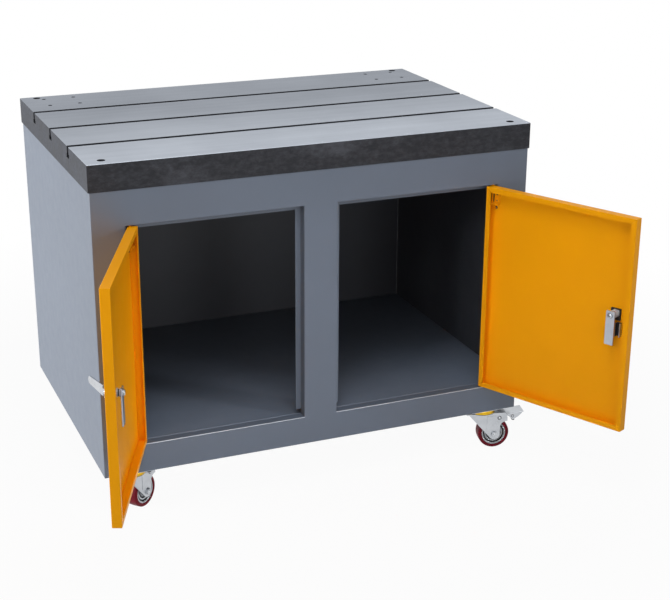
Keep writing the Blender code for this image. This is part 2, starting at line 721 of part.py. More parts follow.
def build_spindle(name, lock):
    """The turning core of the lock: a forked head outside, a shaft through, a tapped end for the cam."""
    end = CAM_FACE - JOIN
    bore = CAM_BOLT_DIAMETER / 2 + SPINDLE_PLAY
    radius = SPINDLE_DIAMETER / 2
    head = SPINDLE_HEAD_DIAMETER / 2
    deep = end - CAM_BOLT_GRIP - JOIN
    face = -HEAD_FOOT - SPINDLE_HEAD_HEIGHT
    profile = [(0, face), (head, face), (head, -HEAD_FOOT), (radius, -HEAD_FOOT), (radius, end), (bore, end),
               (bore, deep), (0, deep)]
    spindle = make_object(name, add_turned(bmesh.new(), profile, "Y", ROUND), CHROME, lock,
                          smooth=math.radians(40))
    slot = LEVER_ROOT_WIDTH / 2 + LEVER_PLAY
    cuts = bmesh.new()
    add_box(cuts, (-head * 2, -2 * SPINDLE_HEAD_HEIGHT, -slot), (head * 2, -SLOT_FLOOR, slot))
    make_boolean(spindle, cuts)
    pin_hole = LEVER_PIVOT_DIAMETER / 2 + LEVER_PLAY
    make_boolean(spindle, add_rod(bmesh.new(), pin_hole, "Z", -2 * head, 2 * head, (0, -LEVER_HEIGHT, 0)))


def build_lever(name, lock, hand):
    """The lever lies along the door towards the hinge when folded and swings out on its cross pin."""
    root = LEVER_ROOT_WIDTH / 2
    half = LEVER_WIDTH / 2
    shoulder = SPINDLE_HEAD_DIAMETER / 2 + LEVER_SHOULDER_GAP
    tip_radius = LEVER_TIP_WIDTH / 2
    tip = arc_points((LEVER_LENGTH - tip_radius, 0), tip_radius, -math.pi / 2, math.pi / 2, 8)
    start = [(0, -root), (shoulder, -root), (shoulder, -half)]
    end = [(x, -z) for x, z in reversed(start)]
    outline = [(-hand * x, z) for x, z in start + tip + end]
    shape = add_prism(bmesh.new(), outline, "Y", -LEVER_RISE - LEVER_THICK / 2, LEVER_THICK / 2 - LEVER_RISE)
    lever = make_object(name, shape, CHROME, lock, (0, -LEVER_HEIGHT, 0), (0, 0, hand * LEVER_OUT))
    eye = bmesh.new()
    reach = SPINDLE_HEAD_DIAMETER / 2 - JOIN
    pin = LEVER_PIVOT_DIAMETER / 2
    barrel = LEVER_EYE_DIAMETER / 2
    profile = [(0, -reach), (pin, -reach), (pin, -root), (barrel, -root), (barrel, root), (pin, root),
               (pin, reach), (0, reach)]
    add_turned(eye, profile, "Z", SMALL_ROUND)
    make_boolean(lever, eye, "UNION")


def build_cam(name, lock):
    half = CAM_WIDTH / 2
    outline = rounded_box(-half, half, CAM_ABOVE - CAM_LENGTH, CAM_ABOVE, CAM_CORNER, 2)
    cam = make_object(name, add_prism(bmesh.new(), outline, "Y", CAM_FACE, CAM_FACE + CAM_THICK), ZINC, lock)
    hole = add_rod(bmesh.new(), CAM_BOLT_DIAMETER / 2 + SPINDLE_PLAY, "Y", CAM_FACE - CAM_THICK,
                   CAM_FACE + 2 * CAM_THICK)
    make_boolean(cam, hole)


def build_cam_bolt(name, lock):
    under = CAM_FACE + CAM_THICK + JOIN
    radius = CAM_BOLT_DIAMETER / 2
    head = CAM_BOLT_HEAD / 2
    tip = CAM_FACE - JOIN - CAM_BOLT_GRIP
    crown = under + CAM_BOLT_HEAD_HEIGHT
    profile = [(0, tip), (radius, tip), (radius, under), (head, under), (head, crown - CAM_BOLT_BEVEL),
               (head - CAM_BOLT_BEVEL, crown), (0, crown)]
    make_object(name, add_turned(bmesh.new(), profile, "Y", SMALL_ROUND), ZINC, lock, smooth=math.radians(40))


def build_clip(name, lock, hand):
    """The channel that clamps the housing's stud to the inside of the door."""
    half = CLIP_WIDTH / 2
    foot = DOOR_SHEET + JOIN
    inner = half - CLIP_SHEET
    web = foot + CLIP_SHEET
    edge = foot + CLIP_HEIGHT
    outline = [(-half, foot), (half, foot), (half, edge), (inner, edge), (inner, web), (-inner, web),
               (-inner, edge), (-half, edge)]
    outline = [(hand * CLIP_X + x, y) for x, y in outline]
    shape = add_prism(bmesh.new(), outline, "Z", CLIP_TOP - CLIP_LENGTH, CLIP_TOP)
    clip = make_object(name, shape, ZINC, lock)
    hole = add_rod(bmesh.new(), STUD_DIAMETER / 2 + BODY_PLAY, "Y", foot - CLIP_SHEET, foot + 2 * CLIP_SHEET,
                   (hand * CLIP_X, 0, STUD_Z))
    make_boolean(clip, hole)


def build_door(side, hand, opened):
    pivot = make_empty(side + "_door_pivot", None, (-hand * PIVOT_X, PIVOT_Y, 0), -hand * opened)
    build_door_pan(side + "_door", pivot, hand)
    build_hinge_pin(side + "_hinge_pin", pivot, hand)
    build_pin_guide(side + "_pin_guide", pivot, hand)
    lock = make_empty(side + "_lock_axis", pivot, (hand * LOCK_X, -PIVOT_FROM_FACE, LOCK_Z))
    build_lock_housing(side + "_lock_housing", lock, hand)
    build_spindle(side + "_lock_spindle", lock)
    build_lever(side + "_lever", lock, hand)
    build_cam(side + "_cam", lock)
    build_cam_bolt(side + "_cam_bolt", lock)
    build_clip(side + "_lock_clip", lock, hand)
    build_button(side + "_lock_button", lock)


# Casters, in a frame on the swivel axis where +X is the trailing side and the floor is z = 0

def build_caster_plate(name, place):
    """The fixed plate under the base, with the riveted kingpin that carries the fork."""
    x = PLATE_LENGTH / 2
    y = PLATE_WIDTH / 2
    outline = rounded_box(-x, x, -y, y, PLATE_CORNER)
    shape = add_prism(bmesh.new(), outline, "Z", PLATE_BOTTOM, CASTER_HEIGHT - JOIN)
    plate = make_object(name, shape, ZINC, place)
    radius = KINGPIN_DIAMETER / 2
    head_top = CROWN_BOTTOM - JOIN
    head_low = head_top - CROWN_THICK
    profile = [(0, head_low), (KINGPIN_HEAD / 2, head_low), (KINGPIN_HEAD / 2, head_top), (radius, head_top),
               (radius, PLATE_BOTTOM + PLATE_THICK / 2), (0, PLATE_BOTTOM + PLATE_THICK / 2)]
    make_boolean(plate, add_turned(bmesh.new(), profile, "Z", SMALL_ROUND), "UNION")
    holes = bmesh.new()
    for sx in (-1, 1):
        for sy in (-1, 1):
            centre = (sx * (x - PLATE_HOLE_INSET), sy * (y - PLATE_HOLE_INSET), 0)
            add_rod(holes, PLATE_HOLE / 2, "Z", PLATE_BOTTOM - PLATE_THICK, CASTER_HEIGHT + PLATE_THICK, centre)
    make_boolean(plate, holes)


def build_swivel_ring(name, swivel):
    bore = KINGPIN_DIAMETER / 2 + KINGPIN_PLAY
    outer = RING_DIAMETER / 2
    profile = [(bore, RING_TOP), (outer - RING_BEVEL, RING_TOP), (outer, RING_TOP - RING_BEVEL),
               (outer, RING_BOTTOM), (bore, RING_BOTTOM)]
    make_object(name, add_turned(bmesh.new(), profile, "Z", ROUND, hollow=True), YELLOW_RING, swivel,
                smooth=math.radians(40))


def leg_outline():
    """One fork leg from the side: slanting down from the crown's front to the axle, hollowed behind."""
    axle = (TRAIL, WHEEL_RADIUS)
    slope = math.atan2(CROWN_BOTTOM - WHEEL_RADIUS, FORK_FRONT + TRAIL)
    span = math.hypot(CROWN_BOTTOM - WHEEL_RADIUS, FORK_FRONT + TRAIL)
    start = math.pi * 1.5 - slope - math.asin(FORK_BOSS / span)
    boss = arc_points(axle, FORK_BOSS, start, math.pi * 2, 7)
    back = PEDAL_X + FORK_BACK
    waist = WHEEL_RADIUS + FORK_WAIST
    hollow_top = PEDAL_Z - PEDAL_BARREL
    hollow = arc_points((back, waist), 1.0, math.pi, math.pi / 2, 4)
    width = back - (TRAIL + FORK_BOSS)
    hollow = [(back + (x - back) * width, waist + (z - waist) * (hollow_top - waist)) for x, z in hollow]
    rim = CROWN_BOTTOM + CROWN_THICK / 2
    return [(-FORK_FRONT, rim)] + boss + hollow + [(back, PEDAL_Z), (back - PEDAL_BARREL / 2, rim)]


def build_fork(name, swivel):
    crown_half = LEG_OUTSIDE
    back = PEDAL_X + FORK_BACK - PEDAL_BARREL / 2
    low = (-CROWN_FRONT, -crown_half, CROWN_BOTTOM)
    high = (back, crown_half, CROWN_TOP)
    fork = make_object(name, add_box(bmesh.new(), low, high), ZINC, swivel)
    legs = bmesh.new()
    for side in (-1, 1):
        low, high = sorted((side * LEG_INSIDE, side * LEG_OUTSIDE))
        add_prism(legs, leg_outline(), "Y", low, high)
    make_boolean(fork, legs, "UNION")
    seat_foot = CROWN_BOTTOM + CROWN_THICK / 4
    seat = add_rod(bmesh.new(), RING_DIAMETER / 2, "Z", seat_foot, CROWN_TOP, steps=ROUND)
    make_boolean(fork, seat, "UNION")
    cuts = bmesh.new()
    beyond = 2 * LEG_OUTSIDE
    bore = KINGPIN_DIAMETER / 2 + KINGPIN_PLAY
    add_rod(cuts, bore, "Z", CROWN_BOTTOM - CROWN_THICK, CROWN_TOP + CROWN_THICK)
    add_rod(cuts, AXLE_DIAMETER / 2 + AXLE_PLAY, "Y", -beyond, beyond, (TRAIL, 0, WHEEL_RADIUS))
    add_rod(cuts, PEDAL_PIVOT_DIAMETER / 2 + AXLE_PLAY, "Y", -beyond, beyond, (PEDAL_X, 0, PEDAL_Z))
    make_boolean(fork, cuts)


def build_wheel(corner, swivel):
    axle = (TRAIL, 0, WHEEL_RADIUS)
    bore = AXLE_DIAMETER / 2 + AXLE_PLAY
    hub = LEG_INSIDE - HUB_SIDE_PLAY
    hub_radius = HUB_DIAMETER / 2
    rim = WHEEL_WIDTH / 2 - CORE_LIP
    web = WEB_WIDTH / 2
    half = [(bore, hub), (hub_radius, hub), (hub_radius + CORE_LIP, web), (DISH_RADIUS, web),
            (DISH_RADIUS + CORE_LIP, rim), (CORE_RADIUS, rim)]
    core = half + [(radius, -along) for radius, along in reversed(half)]
    core_shape = add_turned(bmesh.new(), core, "Y", ROUND, hollow=True)
    make_object(corner + "_wheel_core", core_shape, GREY_CORE, swivel, axle, smooth=math.radians(40))
    tread = WHEEL_RADIUS / math.cos(math.pi / ROUND)
    seat = CORE_RADIUS / math.cos(math.pi / ROUND) + JOIN
    edge = WHEEL_WIDTH / 2
    bevel = TREAD_SHOULDER / 2
    half = [(seat, rim), (seat + TREAD_SHOULDER, edge), (tread - bevel, edge - bevel),
            (tread, edge - TREAD_SHOULDER)]
    tyre = half + [(radius, -along) for radius, along in reversed(half)]
    tyre_shape = add_turned(bmesh.new(), tyre, "Y", ROUND, hollow=True)
    make_object(corner + "_tyre", tyre_shape, RED_TREAD, swivel, axle, smooth=math.radians(30))


def build_axle(name, swivel):
    radius = AXLE_DIAMETER / 2
    head = AXLE_HEAD_DIAMETER / 2
    seat = LEG_OUTSIDE + JOIN
    half = [(0, seat + AXLE_HEAD_HEIGHT), (head - AXLE_HEAD_BEVEL, seat + AXLE_HEAD_HEIGHT),
            (head, seat + AXLE_HEAD_HEIGHT - AXLE_HEAD_BEVEL), (head, seat), (radius, seat)]
    profile = half + [(r, -along) for r, along in reversed(half)]
    shape = add_turned(bmesh.new(), profile, "Y", SMALL_ROUND)
    make_object(name, shape, ZINC, swivel, (TRAIL, 0, WHEEL_RADIUS), smooth=math.radians(40))


def pedal_outline():
    """The pedal from the side, about its pivot: a tread rising outwards, a foot and a brake shoe below."""
    top = PEDAL_BARREL / 2 - JOIN
    inner = PEDAL_KNEE - PEDAL_SHEET
    outer = PEDAL_KNEE + PEDAL_SHEET
    tread = [(0, top), (inner, top + PEDAL_SHEET / 2), (PEDAL_KNEE, PEDAL_KNEE_RISE),
             (PEDAL_REACH, PEDAL_RISE), (PEDAL_REACH, PEDAL_RISE - PEDAL_SHEET),
             (outer, PEDAL_KNEE_RISE - PEDAL_SHEET)]
    foot = [(FOOT_REACH, -FOOT_DROP), (FOOT_REACH - PEDAL_SHEET, -FOOT_DROP - PEDAL_SHEET / 2),
            (inner, PEDAL_KNEE_RISE - 2 * PEDAL_SHEET)]
    shoe = [(SHOE_REACH + 2 * PEDAL_SHEET, -PEDAL_SHEET), (SHOE_REACH, -SHOE_DROP), (PEDAL_SHEET, -top)]
    return tread + foot + shoe


def build_pedal(name, swivel):
    half = LEG_INSIDE - PEDAL_SIDE_GAP
    shape = add_prism(bmesh.new(), pedal_outline(), "Y", -half, half)
    pedal = make_object(name, shape, ZINC, swivel, (PEDAL_X, 0, PEDAL_Z))
    barrel = PEDAL_BARREL / 2
    radius = PEDAL_PIVOT_DIAMETER / 2
    seat = LEG_OUTSIDE + JOIN
    rivet = RIVET_HEAD / 2
    side = [(0, seat + RIVET_HEIGHT), (rivet, seat + RIVET_HEIGHT), (rivet, seat), (radius, seat),
            (radius, half), (barrel, half)]
    profile = side + [(r, -along) for r, along in reversed(side)]
    parts = add_turned(bmesh.new(), profile, "Y", SMALL_ROUND)
    under = PEDAL_SHEET / 2
    skirt = [(PEDAL_KNEE, PEDAL_KNEE_RISE - under), (PEDAL_REACH - PEDAL_SHEET, PEDAL_RISE - under),
             (FOOT_REACH - under, -FOOT_DROP)]
    for low, high in ((-half + JOIN, -half + PEDAL_SHEET), (half - PEDAL_SHEET, half - JOIN)):
        add_prism(parts, skirt, "Y", low, high)
    make_boolean(pedal, parts, "UNION")


def build_caster(corner, x, y):
    place = make_empty(corner + "_caster_place", None, (x, y, 0))
    swivel = make_empty(corner + "_caster_swivel", None, (x, y, 0), CASTER_TURNS[corner])
    build_caster_plate(corner + "_caster_plate", place)
    build_swivel_ring(corner + "_swivel_ring", swivel)
    build_fork(corner + "_fork", swivel)
    build_wheel(corner, swivel)
    build_axle(corner + "_axle", swivel)
    build_pedal(corner + "_brake_pedal", swivel)


def build_casters():
    x = CABINET_HALF - CASTER_FROM_SIDE
    front = CABINET_FRONT + CASTER_FROM_FRONT
    back = CABINET_BACK - CASTER_FROM_FRONT
    build_caster("front_left", -x, front)
    build_caster("front_right", x, front)
    build_caster("rear_left", -x, back)
    build_caster("rear_right", x, back)


build_table()
build_angle_frame()
build_side("left_side", -1)
build_side("right_side", 1)
build_back_and_base()
build_floor()
build_front_frame()
build_door("left", 1, LEFT_DOOR_OPEN)
build_door("right", -1, RIGHT_DOOR_OPEN)
build_casters()
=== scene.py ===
"""Looks of the threading machine stand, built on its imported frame.

Metres, +Z up, -Y out of the doors. The door pieces are modelled once, with the door shut, in a frame on its
hinge line, and the caster pieces once in a frame on the swivel axis. Both are then copied into place.
"""
import json
import math

import bmesh
import bpy
from mathutils import Matrix, Vector


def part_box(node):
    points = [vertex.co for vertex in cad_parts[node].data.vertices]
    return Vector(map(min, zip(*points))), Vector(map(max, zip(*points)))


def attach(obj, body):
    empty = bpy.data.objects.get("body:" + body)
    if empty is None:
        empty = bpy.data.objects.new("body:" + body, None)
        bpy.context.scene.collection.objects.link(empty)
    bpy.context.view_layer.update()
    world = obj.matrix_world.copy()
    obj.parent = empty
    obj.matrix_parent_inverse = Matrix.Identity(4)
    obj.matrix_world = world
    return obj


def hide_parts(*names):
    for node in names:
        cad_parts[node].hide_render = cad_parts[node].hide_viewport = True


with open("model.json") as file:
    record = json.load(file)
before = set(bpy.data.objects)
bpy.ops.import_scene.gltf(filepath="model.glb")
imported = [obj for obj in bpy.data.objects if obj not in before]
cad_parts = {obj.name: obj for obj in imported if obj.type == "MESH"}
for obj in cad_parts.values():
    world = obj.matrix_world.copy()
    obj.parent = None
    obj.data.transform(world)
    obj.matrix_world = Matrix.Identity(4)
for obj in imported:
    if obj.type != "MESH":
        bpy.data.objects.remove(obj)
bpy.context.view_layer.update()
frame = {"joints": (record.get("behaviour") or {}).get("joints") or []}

JOINTS = {joint["name"]: joint for joint in frame["joints"]}
HANDS = {"left": 1, "right": -1}
BOTH_SIDES = (-1, 1)
CORNERS = ("front_left", "front_right", "rear_left", "rear_right")
TINY = 1e-5
GAP = 0.0003

# A face looks along an axis if at least this much of its normal does
FACING = 0.9

# An edge that turns by less than such an angle isn't rounded, or is shaded smooth
ANY_TURN = math.radians(32)
SMOOTH_TURN = math.radians(38)
PEDAL_TURN = math.radians(40)
HEX_TURN = math.radians(50)
STEEP_TURN = math.radians(60)
SQUARE_TURN = math.radians(80)

# Widths of small rounded edges
HAIR_EDGE = 0.0003
FINE_EDGE = 0.0004
SMALL_EDGE = 0.0005
NUT_EDGE = 0.0006
SOFT_EDGE = 0.0008

# Table plate
SLOT_PITCH = 0.169
SLOT_NECK = 0.014
SLOT_HEAD = 0.023
SLOT_HEAD_HEIGHT = 0.009
SLOT_DEPTH = 0.025
TABLE_CHAMFER = 0.0012
HOLE_CHAMFER = 0.00025
ARM_HOLE = 0.009
ARM_HOLE_DEPTH = 0.030
ARM_HOLE_PITCH = 0.070
ARM_HOLE_FROM_END = 0.0505
ARM_HOLE_FROM_BACK = 0.033
BOLT_HOLE = 0.0168
BOLT_SHANK_HOLE = 0.0108
BOLT_SEAT = 0.020

# Cabinet
SHEET = 0.002
SHEET_EDGE = 0.0008
OPENING_INNER = 0.039
OPENING_OUTER = 0.426
SILL = 0.171
LINTEL = 0.660
JAMB_DEPTH = 0.022
STOP_LIP = 0.012
LIP_CUTAWAY = 0.012
FOLD = 0.0022
FRONT_CORNER = 0.0014
ANGLE_WIDTH = 0.050
ANGLE_HEIGHT = 0.040
ANGLE_THICK = 0.004
ANGLE_EDGE = 0.0016

# Doors
DOOR_WIDTH = 0.379
DOOR_BOTTOM = 0.174
DOOR_TOP = 0.657
DOOR_DEPTH = 0.020
DOOR_SHEET = 0.0015
DOOR_LIP = 0.012
DOOR_FOLD = 0.0011
MITRE_GAP = 0.0008
PIVOT_FROM_EDGE = 0.007
PIVOT_FROM_FACE = 0.005
PIN_RADIUS = 0.0025
PIN_HOLE = 0.0029
PIN_REACH = 0.009
PIN_LENGTH = 0.048
PIN_BEND = 0.007
PIN_HANDLE = 0.009
PIN_TURN = math.radians(50)
GUIDE_START = 0.0042
GUIDE_WIDTH = 0.015
GUIDE_HEIGHT = 0.028
GUIDE_REACH = 0.012
GUIDE_THICK = 0.002

# Locks
LOCK_X = 0.331
LOCK_Z = 0.4375
BEZEL_WIDTH = 0.030
BEZEL_THICK = 0.0015
BEZEL_ABOVE = 0.017
BEZEL_BELOW = 0.099
BEZEL_CORNER = 0.006
BEZEL_BORDER = 0.0016
BEZEL_SUNK = 0.0004
BODY_WIDTH = 0.0232
BODY_ABOVE = 0.010
BODY_BELOW = 0.0155
BODY_DEPTH = 0.006
BODY_HOLLOW = 0.0045
BODY_WALL = 0.0012
WINDOW_CORNER = 0.0012
BLOCK_START = 0.081
BLOCK_HEIGHT = 0.0042
SPINDLE_RADIUS = 0.009
HEAD_RADIUS = 0.0105
HEAD_FOOT = 0.0021
HEAD_HEIGHT = 0.0046
LEVER_LENGTH = 0.077
LEVER_WIDTH = 0.022
LEVER_TIP_WIDTH = 0.016
LEVER_ROOT_WIDTH = 0.010
LEVER_THICK = 0.0035
LEVER_RISE = 0.001
LEVER_HEIGHT = 0.0035
LEVER_SHOULDER = 0.0115
LEVER_OUT = math.radians(33)
LEVER_PIN = 0.0015
LEVER_EYE = 0.0025
LEVER_EDGE = 0.0007
BUTTON_WIDTH = 0.012
BUTTON_LENGTH = 0.008
BUTTON_HEIGHT = 0.0024
BUTTON_PROUD = 0.0006
BUTTON_TRAVEL = 0.0012
BUTTON_CORNER = 0.0013
BUTTON_Z = -(BLOCK_START + BEZEL_BELOW) / 2
CAM_FACE = 0.0245
CAM_THICK = 0.003
CAM_WIDTH = 0.021
CAM_LENGTH = 0.077
CAM_ABOVE = 0.0105
CAM_CORNER = 0.0018
CAM_BOLT_HEAD = 0.0055
CAM_BOLT_HEIGHT = 0.0042
CLIP_X = 0.01005
CLIP_TOP = -0.0198
CLIP_LENGTH = 0.031
CLIP_WIDTH = 0.0125
CLIP_HEIGHT = 0.010
CLIP_SHEET = 0.0022
STUD_RADIUS = 0.003
STUD_SPOT = (CLIP_X, 0, CLIP_TOP - CLIP_LENGTH / 2)

# Casters
WHEEL_RADIUS = 0.0375
WHEEL_HALF = 0.016
RIM_HALF = WHEEL_HALF - 0.0018
CORE_RADIUS = 0.02875
TRAIL = 0.028
CROWN_BOTTOM = 0.0891
CROWN_TOP = 0.0921
CROWN_FRONT = 0.041
CROWN_CORNER = 0.004
FORK_FRONT = 0.036
FORK_BACK = 0.059
FORK_BOSS = 0.0135
FORK_WAIST = 0.056
LEG_INSIDE = 0.019
LEG_OUTSIDE = 0.0215
PANEL_PROUD = 0.0008
PANEL_CORNER = 0.003
RING_RADIUS = 0.031
RING_BOTTOM = 0.0924
RING_TOP = 0.1019
KINGPIN = 0.006
KINGPIN_BORE = KINGPIN + 0.0005
KINGPIN_HEAD = 0.010
PLATE_BOTTOM = 0.1022
PLATE_TOP = 0.1057
PLATE_HALF_LENGTH = 0.044
PLATE_HALF_WIDTH = 0.032
PLATE_CORNER = 0.005
PLATE_HOLE_INSET = 0.010
AXLE_RADIUS = 0.004
PEDAL_X = 0.039
PEDAL_Z = 0.079586
PEDAL_HALF = 0.0175
PEDAL_BARREL = 0.0045

# Studio
WHITE = (1, 1, 1, 1)
FLOOR_COLOUR = (0.62, 0.62, 0.62, 1)
FLOOR_SIZE = 14
FLOOR_DROP = 0.0005
FLOOR_WHITE = 0.95
FLOOR_EDGE = 0.9
AMBIENT = 0.31
AMBIENT_COLOUR = (0.94, 0.97, 1.0, 1)


# Bench tools

def clear_bench():
    """Leave edit mode with nothing selected."""
    if bpy.context.mode != "OBJECT":
        bpy.ops.object.mode_set(mode="OBJECT")
    bpy.ops.object.select_all(action="DESELECT")


def take_up(*pieces):
    clear_bench()
    for piece in pieces:
        piece.select_set(True)
    bpy.context.view_layer.objects.active = pieces[0]


def start_shaping(piece):
    take_up(piece)
    bpy.ops.object.mode_set(mode="EDIT")
    bpy.ops.mesh.select_mode(type="VERT")
    bpy.ops.mesh.select_all(action="SELECT")


def settle(piece):
    """Apply a piece's place and size, so that its own frame is the part's frame."""
    bpy.ops.object.transform_apply(location=True, rotation=True, scale=True)
    return piece


def name_piece(name):
    piece = settle(bpy.context.object)
    piece.name = name
    start_shaping(piece)
    return piece


def block(name, low, high):
    """A block from corner to corner, left in edit mode."""
    clear_bench()
    low = Vector(low)
    high = Vector(high)
    bpy.ops.mesh.primitive_cube_add(size=1, location=(low + high) / 2, scale=high - low)
    return name_piece(name)


def flat_sheet(name, low, high):
    """A flat sheet from corner to corner: upright and facing the front, or level and facing up."""
    clear_bench()
    low = Vector(low)
    high = Vector(high)
    size = high - low
    upright = size.y < TINY
    bpy.ops.mesh.primitive_plane_add(size=1, location=(low + high) / 2,
                                     rotation=(math.pi / 2 if upright else 0, 0, 0))
    bpy.context.object.scale = (size.x, size.z if upright else size.y, 1)
    return name_piece(name)


def draw_line(name, points):
    """A line drawn from point to point by extruding one corner, left in edit mode and selected."""
    clear_bench()
    bpy.ops.mesh.primitive_plane_add(size=0.01, location=points[0])
    piece = name_piece(name)
    bpy.ops.mesh.merge(type="CENTER")
    for here, there in zip(points, points[1:]):
        push(*(Vector(there) - Vector(here)))
    bpy.ops.mesh.select_all(action="SELECT")
    return piece


def stand_up(axis, along, first, second):
    """A point of an outline that lies square to an axis."""
    point = [first, second]
    point.insert("XYZ".index(axis), along)
    return point


def cut_out(name, outline, axis, low, high, at=(0, 0)):
    """A plate of an outline about a spot, cut square to an axis and as thick as from low to high."""
    piece = draw_line(name, [stand_up(axis, low, at[0] + a, at[1] + b) for a, b in outline])
    bpy.ops.mesh.edge_face_add()
    push(*stand_up(axis, high - low, 0, 0))
    tidy_mesh()
    return piece


def lathe(name, profile, axis="Z", centre=(0, 0, 0), sides=32, ring=False):
    """A profile of (radius, height) points turned round an axis. A ring's profile closes on itself."""
    spun = [Vector(centre) + Vector(stand_up(axis, height, radius, 0)) for radius, height in profile]
    if ring:
        spun.append(spun[0])
    piece = draw_line(name, spun)
    bpy.ops.mesh.spin(steps=sides, angle=2 * math.pi, center=centre, axis=stand_up(axis, 1, 0, 0))
    tidy_mesh()
    return piece


def both_ways(half):
    """One half of a profile, and then its mirror image."""
    return half + [(radius, -height) for radius, height in reversed(half)]


def tidy_mesh():
    """Merge doubles and turn every face outwards."""
    bpy.ops.mesh.select_all(action="SELECT")
    bpy.ops.mesh.remove_doubles(threshold=TINY / 10)
    bpy.ops.mesh.normals_make_consistent(inside=False)


def middle(part):
    return sum((corner.co for corner in part.verts), Vector()) / len(part.verts)


def anywhere(spot):
    return True


def pick(kind, test):
    """Select the faces, edges or corners of the piece in edit mode that pass a test."""
    bpy.ops.mesh.select_mode(type=kind)
    bpy.ops.mesh.select_all(action="DESELECT")
    piece = bpy.context.edit_object
    mesh = bmesh.from_edit_mesh(piece.data)
    parts = {"FACE": mesh.faces, "EDGE": mesh.edges, "VERT": mesh.verts}[kind]
    found = [part for part in parts if test(part)]
    if not found:
        raise ValueError("nothing to pick on " + piece.name)
    for part in found:
        part.select_set(True)
    bmesh.update_edit_mesh(piece.data)


def pick_faces(test):
    """Select the faces whose middle and normal pass a test."""
    pick("FACE", lambda face: test(middle(face), face.normal))


def pick_rim(where=anywhere):
    """Select the open edges whose middles pass a test."""
    pick("EDGE", lambda edge: edge.is_boundary and where(middle(edge)))


def push(x, y, z):
    bpy.ops.mesh.extrude_region_move(TRANSFORM_OT_translate={"value": (x, y, z)})


def slice_at(point, normal):
    bpy.ops.mesh.select_all(action="SELECT")
    bpy.ops.mesh.bisect(plane_co=point, plane_no=normal)


def ease_edges(width, steps=2, least=ANY_TURN, where=anywhere):
    """Round the edges that turn by more than an angle and whose middles pass a test."""
    def sharp(edge):
        return len(edge.link_faces) == 2 and edge.calc_face_angle(0) >= least and where(middle(edge))
    pick("EDGE", sharp)
    bpy.ops.mesh.bevel(offset=width, segments=steps, affect="EDGES", clamp_overlap=True)


def add_step(piece, kind, **settings):
    """Put a modifier on a piece and apply it."""
    take_up(piece)
    bpy.ops.object.modifier_add(type=kind)
    step = piece.modifiers[-1]
    for name, value in settings.items():
        setattr(step, name, value)
    bpy.ops.object.modifier_apply(modifier=step.name)


def thicken(piece, thickness):
    add_step(piece, "SOLIDIFY", thickness=thickness, offset=-1, use_even_offset=True)


def join(*pieces):
    take_up(*pieces)
    bpy.ops.object.join()
    return pieces[0]


def combine(piece, tools, operation="DIFFERENCE"):
    """Cut the tools out of a piece, or weld them on, and put them away."""
    tool = join(*tools)
    add_step(piece, "BOOLEAN", operation=operation, solver="EXACT", object=tool)
    bpy.data.objects.remove(tool)


def drill(piece, radius, axis, low, high, *centres, sides=24):
    profile = [(0, low), (radius, low), (radius, high), (0, high)]
    combine(piece, [lathe("drill", profile, axis, centre, sides) for centre in centres])


def arc(centre, radius, start, end, steps):
    points = []
    for i in range(steps + 1):
        angle = start + (end - start) * i / steps
        points.append((centre[0] + radius * math.cos(angle), centre[1] + radius * math.sin(angle)))
    return points


def rounded(left, right, bottom, top, radius, steps=5):
    """A rectangle with round corners."""
    quarter = math.pi / 2
    centres = [(right - radius, top - radius), (left + radius, top - radius),
               (left + radius, bottom + radius), (right - radius, bottom + radius)]
    points = []
    for number, centre in enumerate(centres):
        points += arc(centre, radius, number * quarter, (number + 1) * quarter, steps)
    return points


def hexagon(across):
    return arc((0, 0), across / math.sqrt(3), 0, math.radians(300), 5)


def copy_piece(pattern, name, place):
    take_up(pattern)
    bpy.ops.object.duplicate()
    copy = bpy.context.object
    copy.name = name
    copy.matrix_world = place
    settle(copy)
    if place.determinant() < 0:
        start_shaping(copy)
        tidy_mesh()
    return copy


def finish_piece(piece, body, nodes=()):
    """Shade a piece, hang it on its body and let it stand for its solids."""
    take_up(piece)
    bpy.ops.object.shade_smooth_by_angle(angle=SMOOTH_TURN)
    add_step(piece, "WEIGHTED_NORMAL", keep_sharp=True)
    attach(piece, body)
    if nodes:
        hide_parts(*nodes)


# Paints and metals

class Wire:
    """A value in a finish. Sums and products of wires add their Math nodes."""

    def __init__(self, finish, socket):
        self.finish = finish
        self.socket = socket

    def math(self, operation, first, second):
        return self.finish.node("ShaderNodeMath", {0: first, 1: second}, operation=operation)

    def __add__(self, other):
        return self.math("ADD", self, other)

    def __sub__(self, other):
        return self.math("SUBTRACT", self, other)

    def __rsub__(self, other):
        return self.math("SUBTRACT", other, self)

    def __mul__(self, other):
        return self.math("MULTIPLY", self, other)

    __radd__ = __add__
    __rmul__ = __mul__


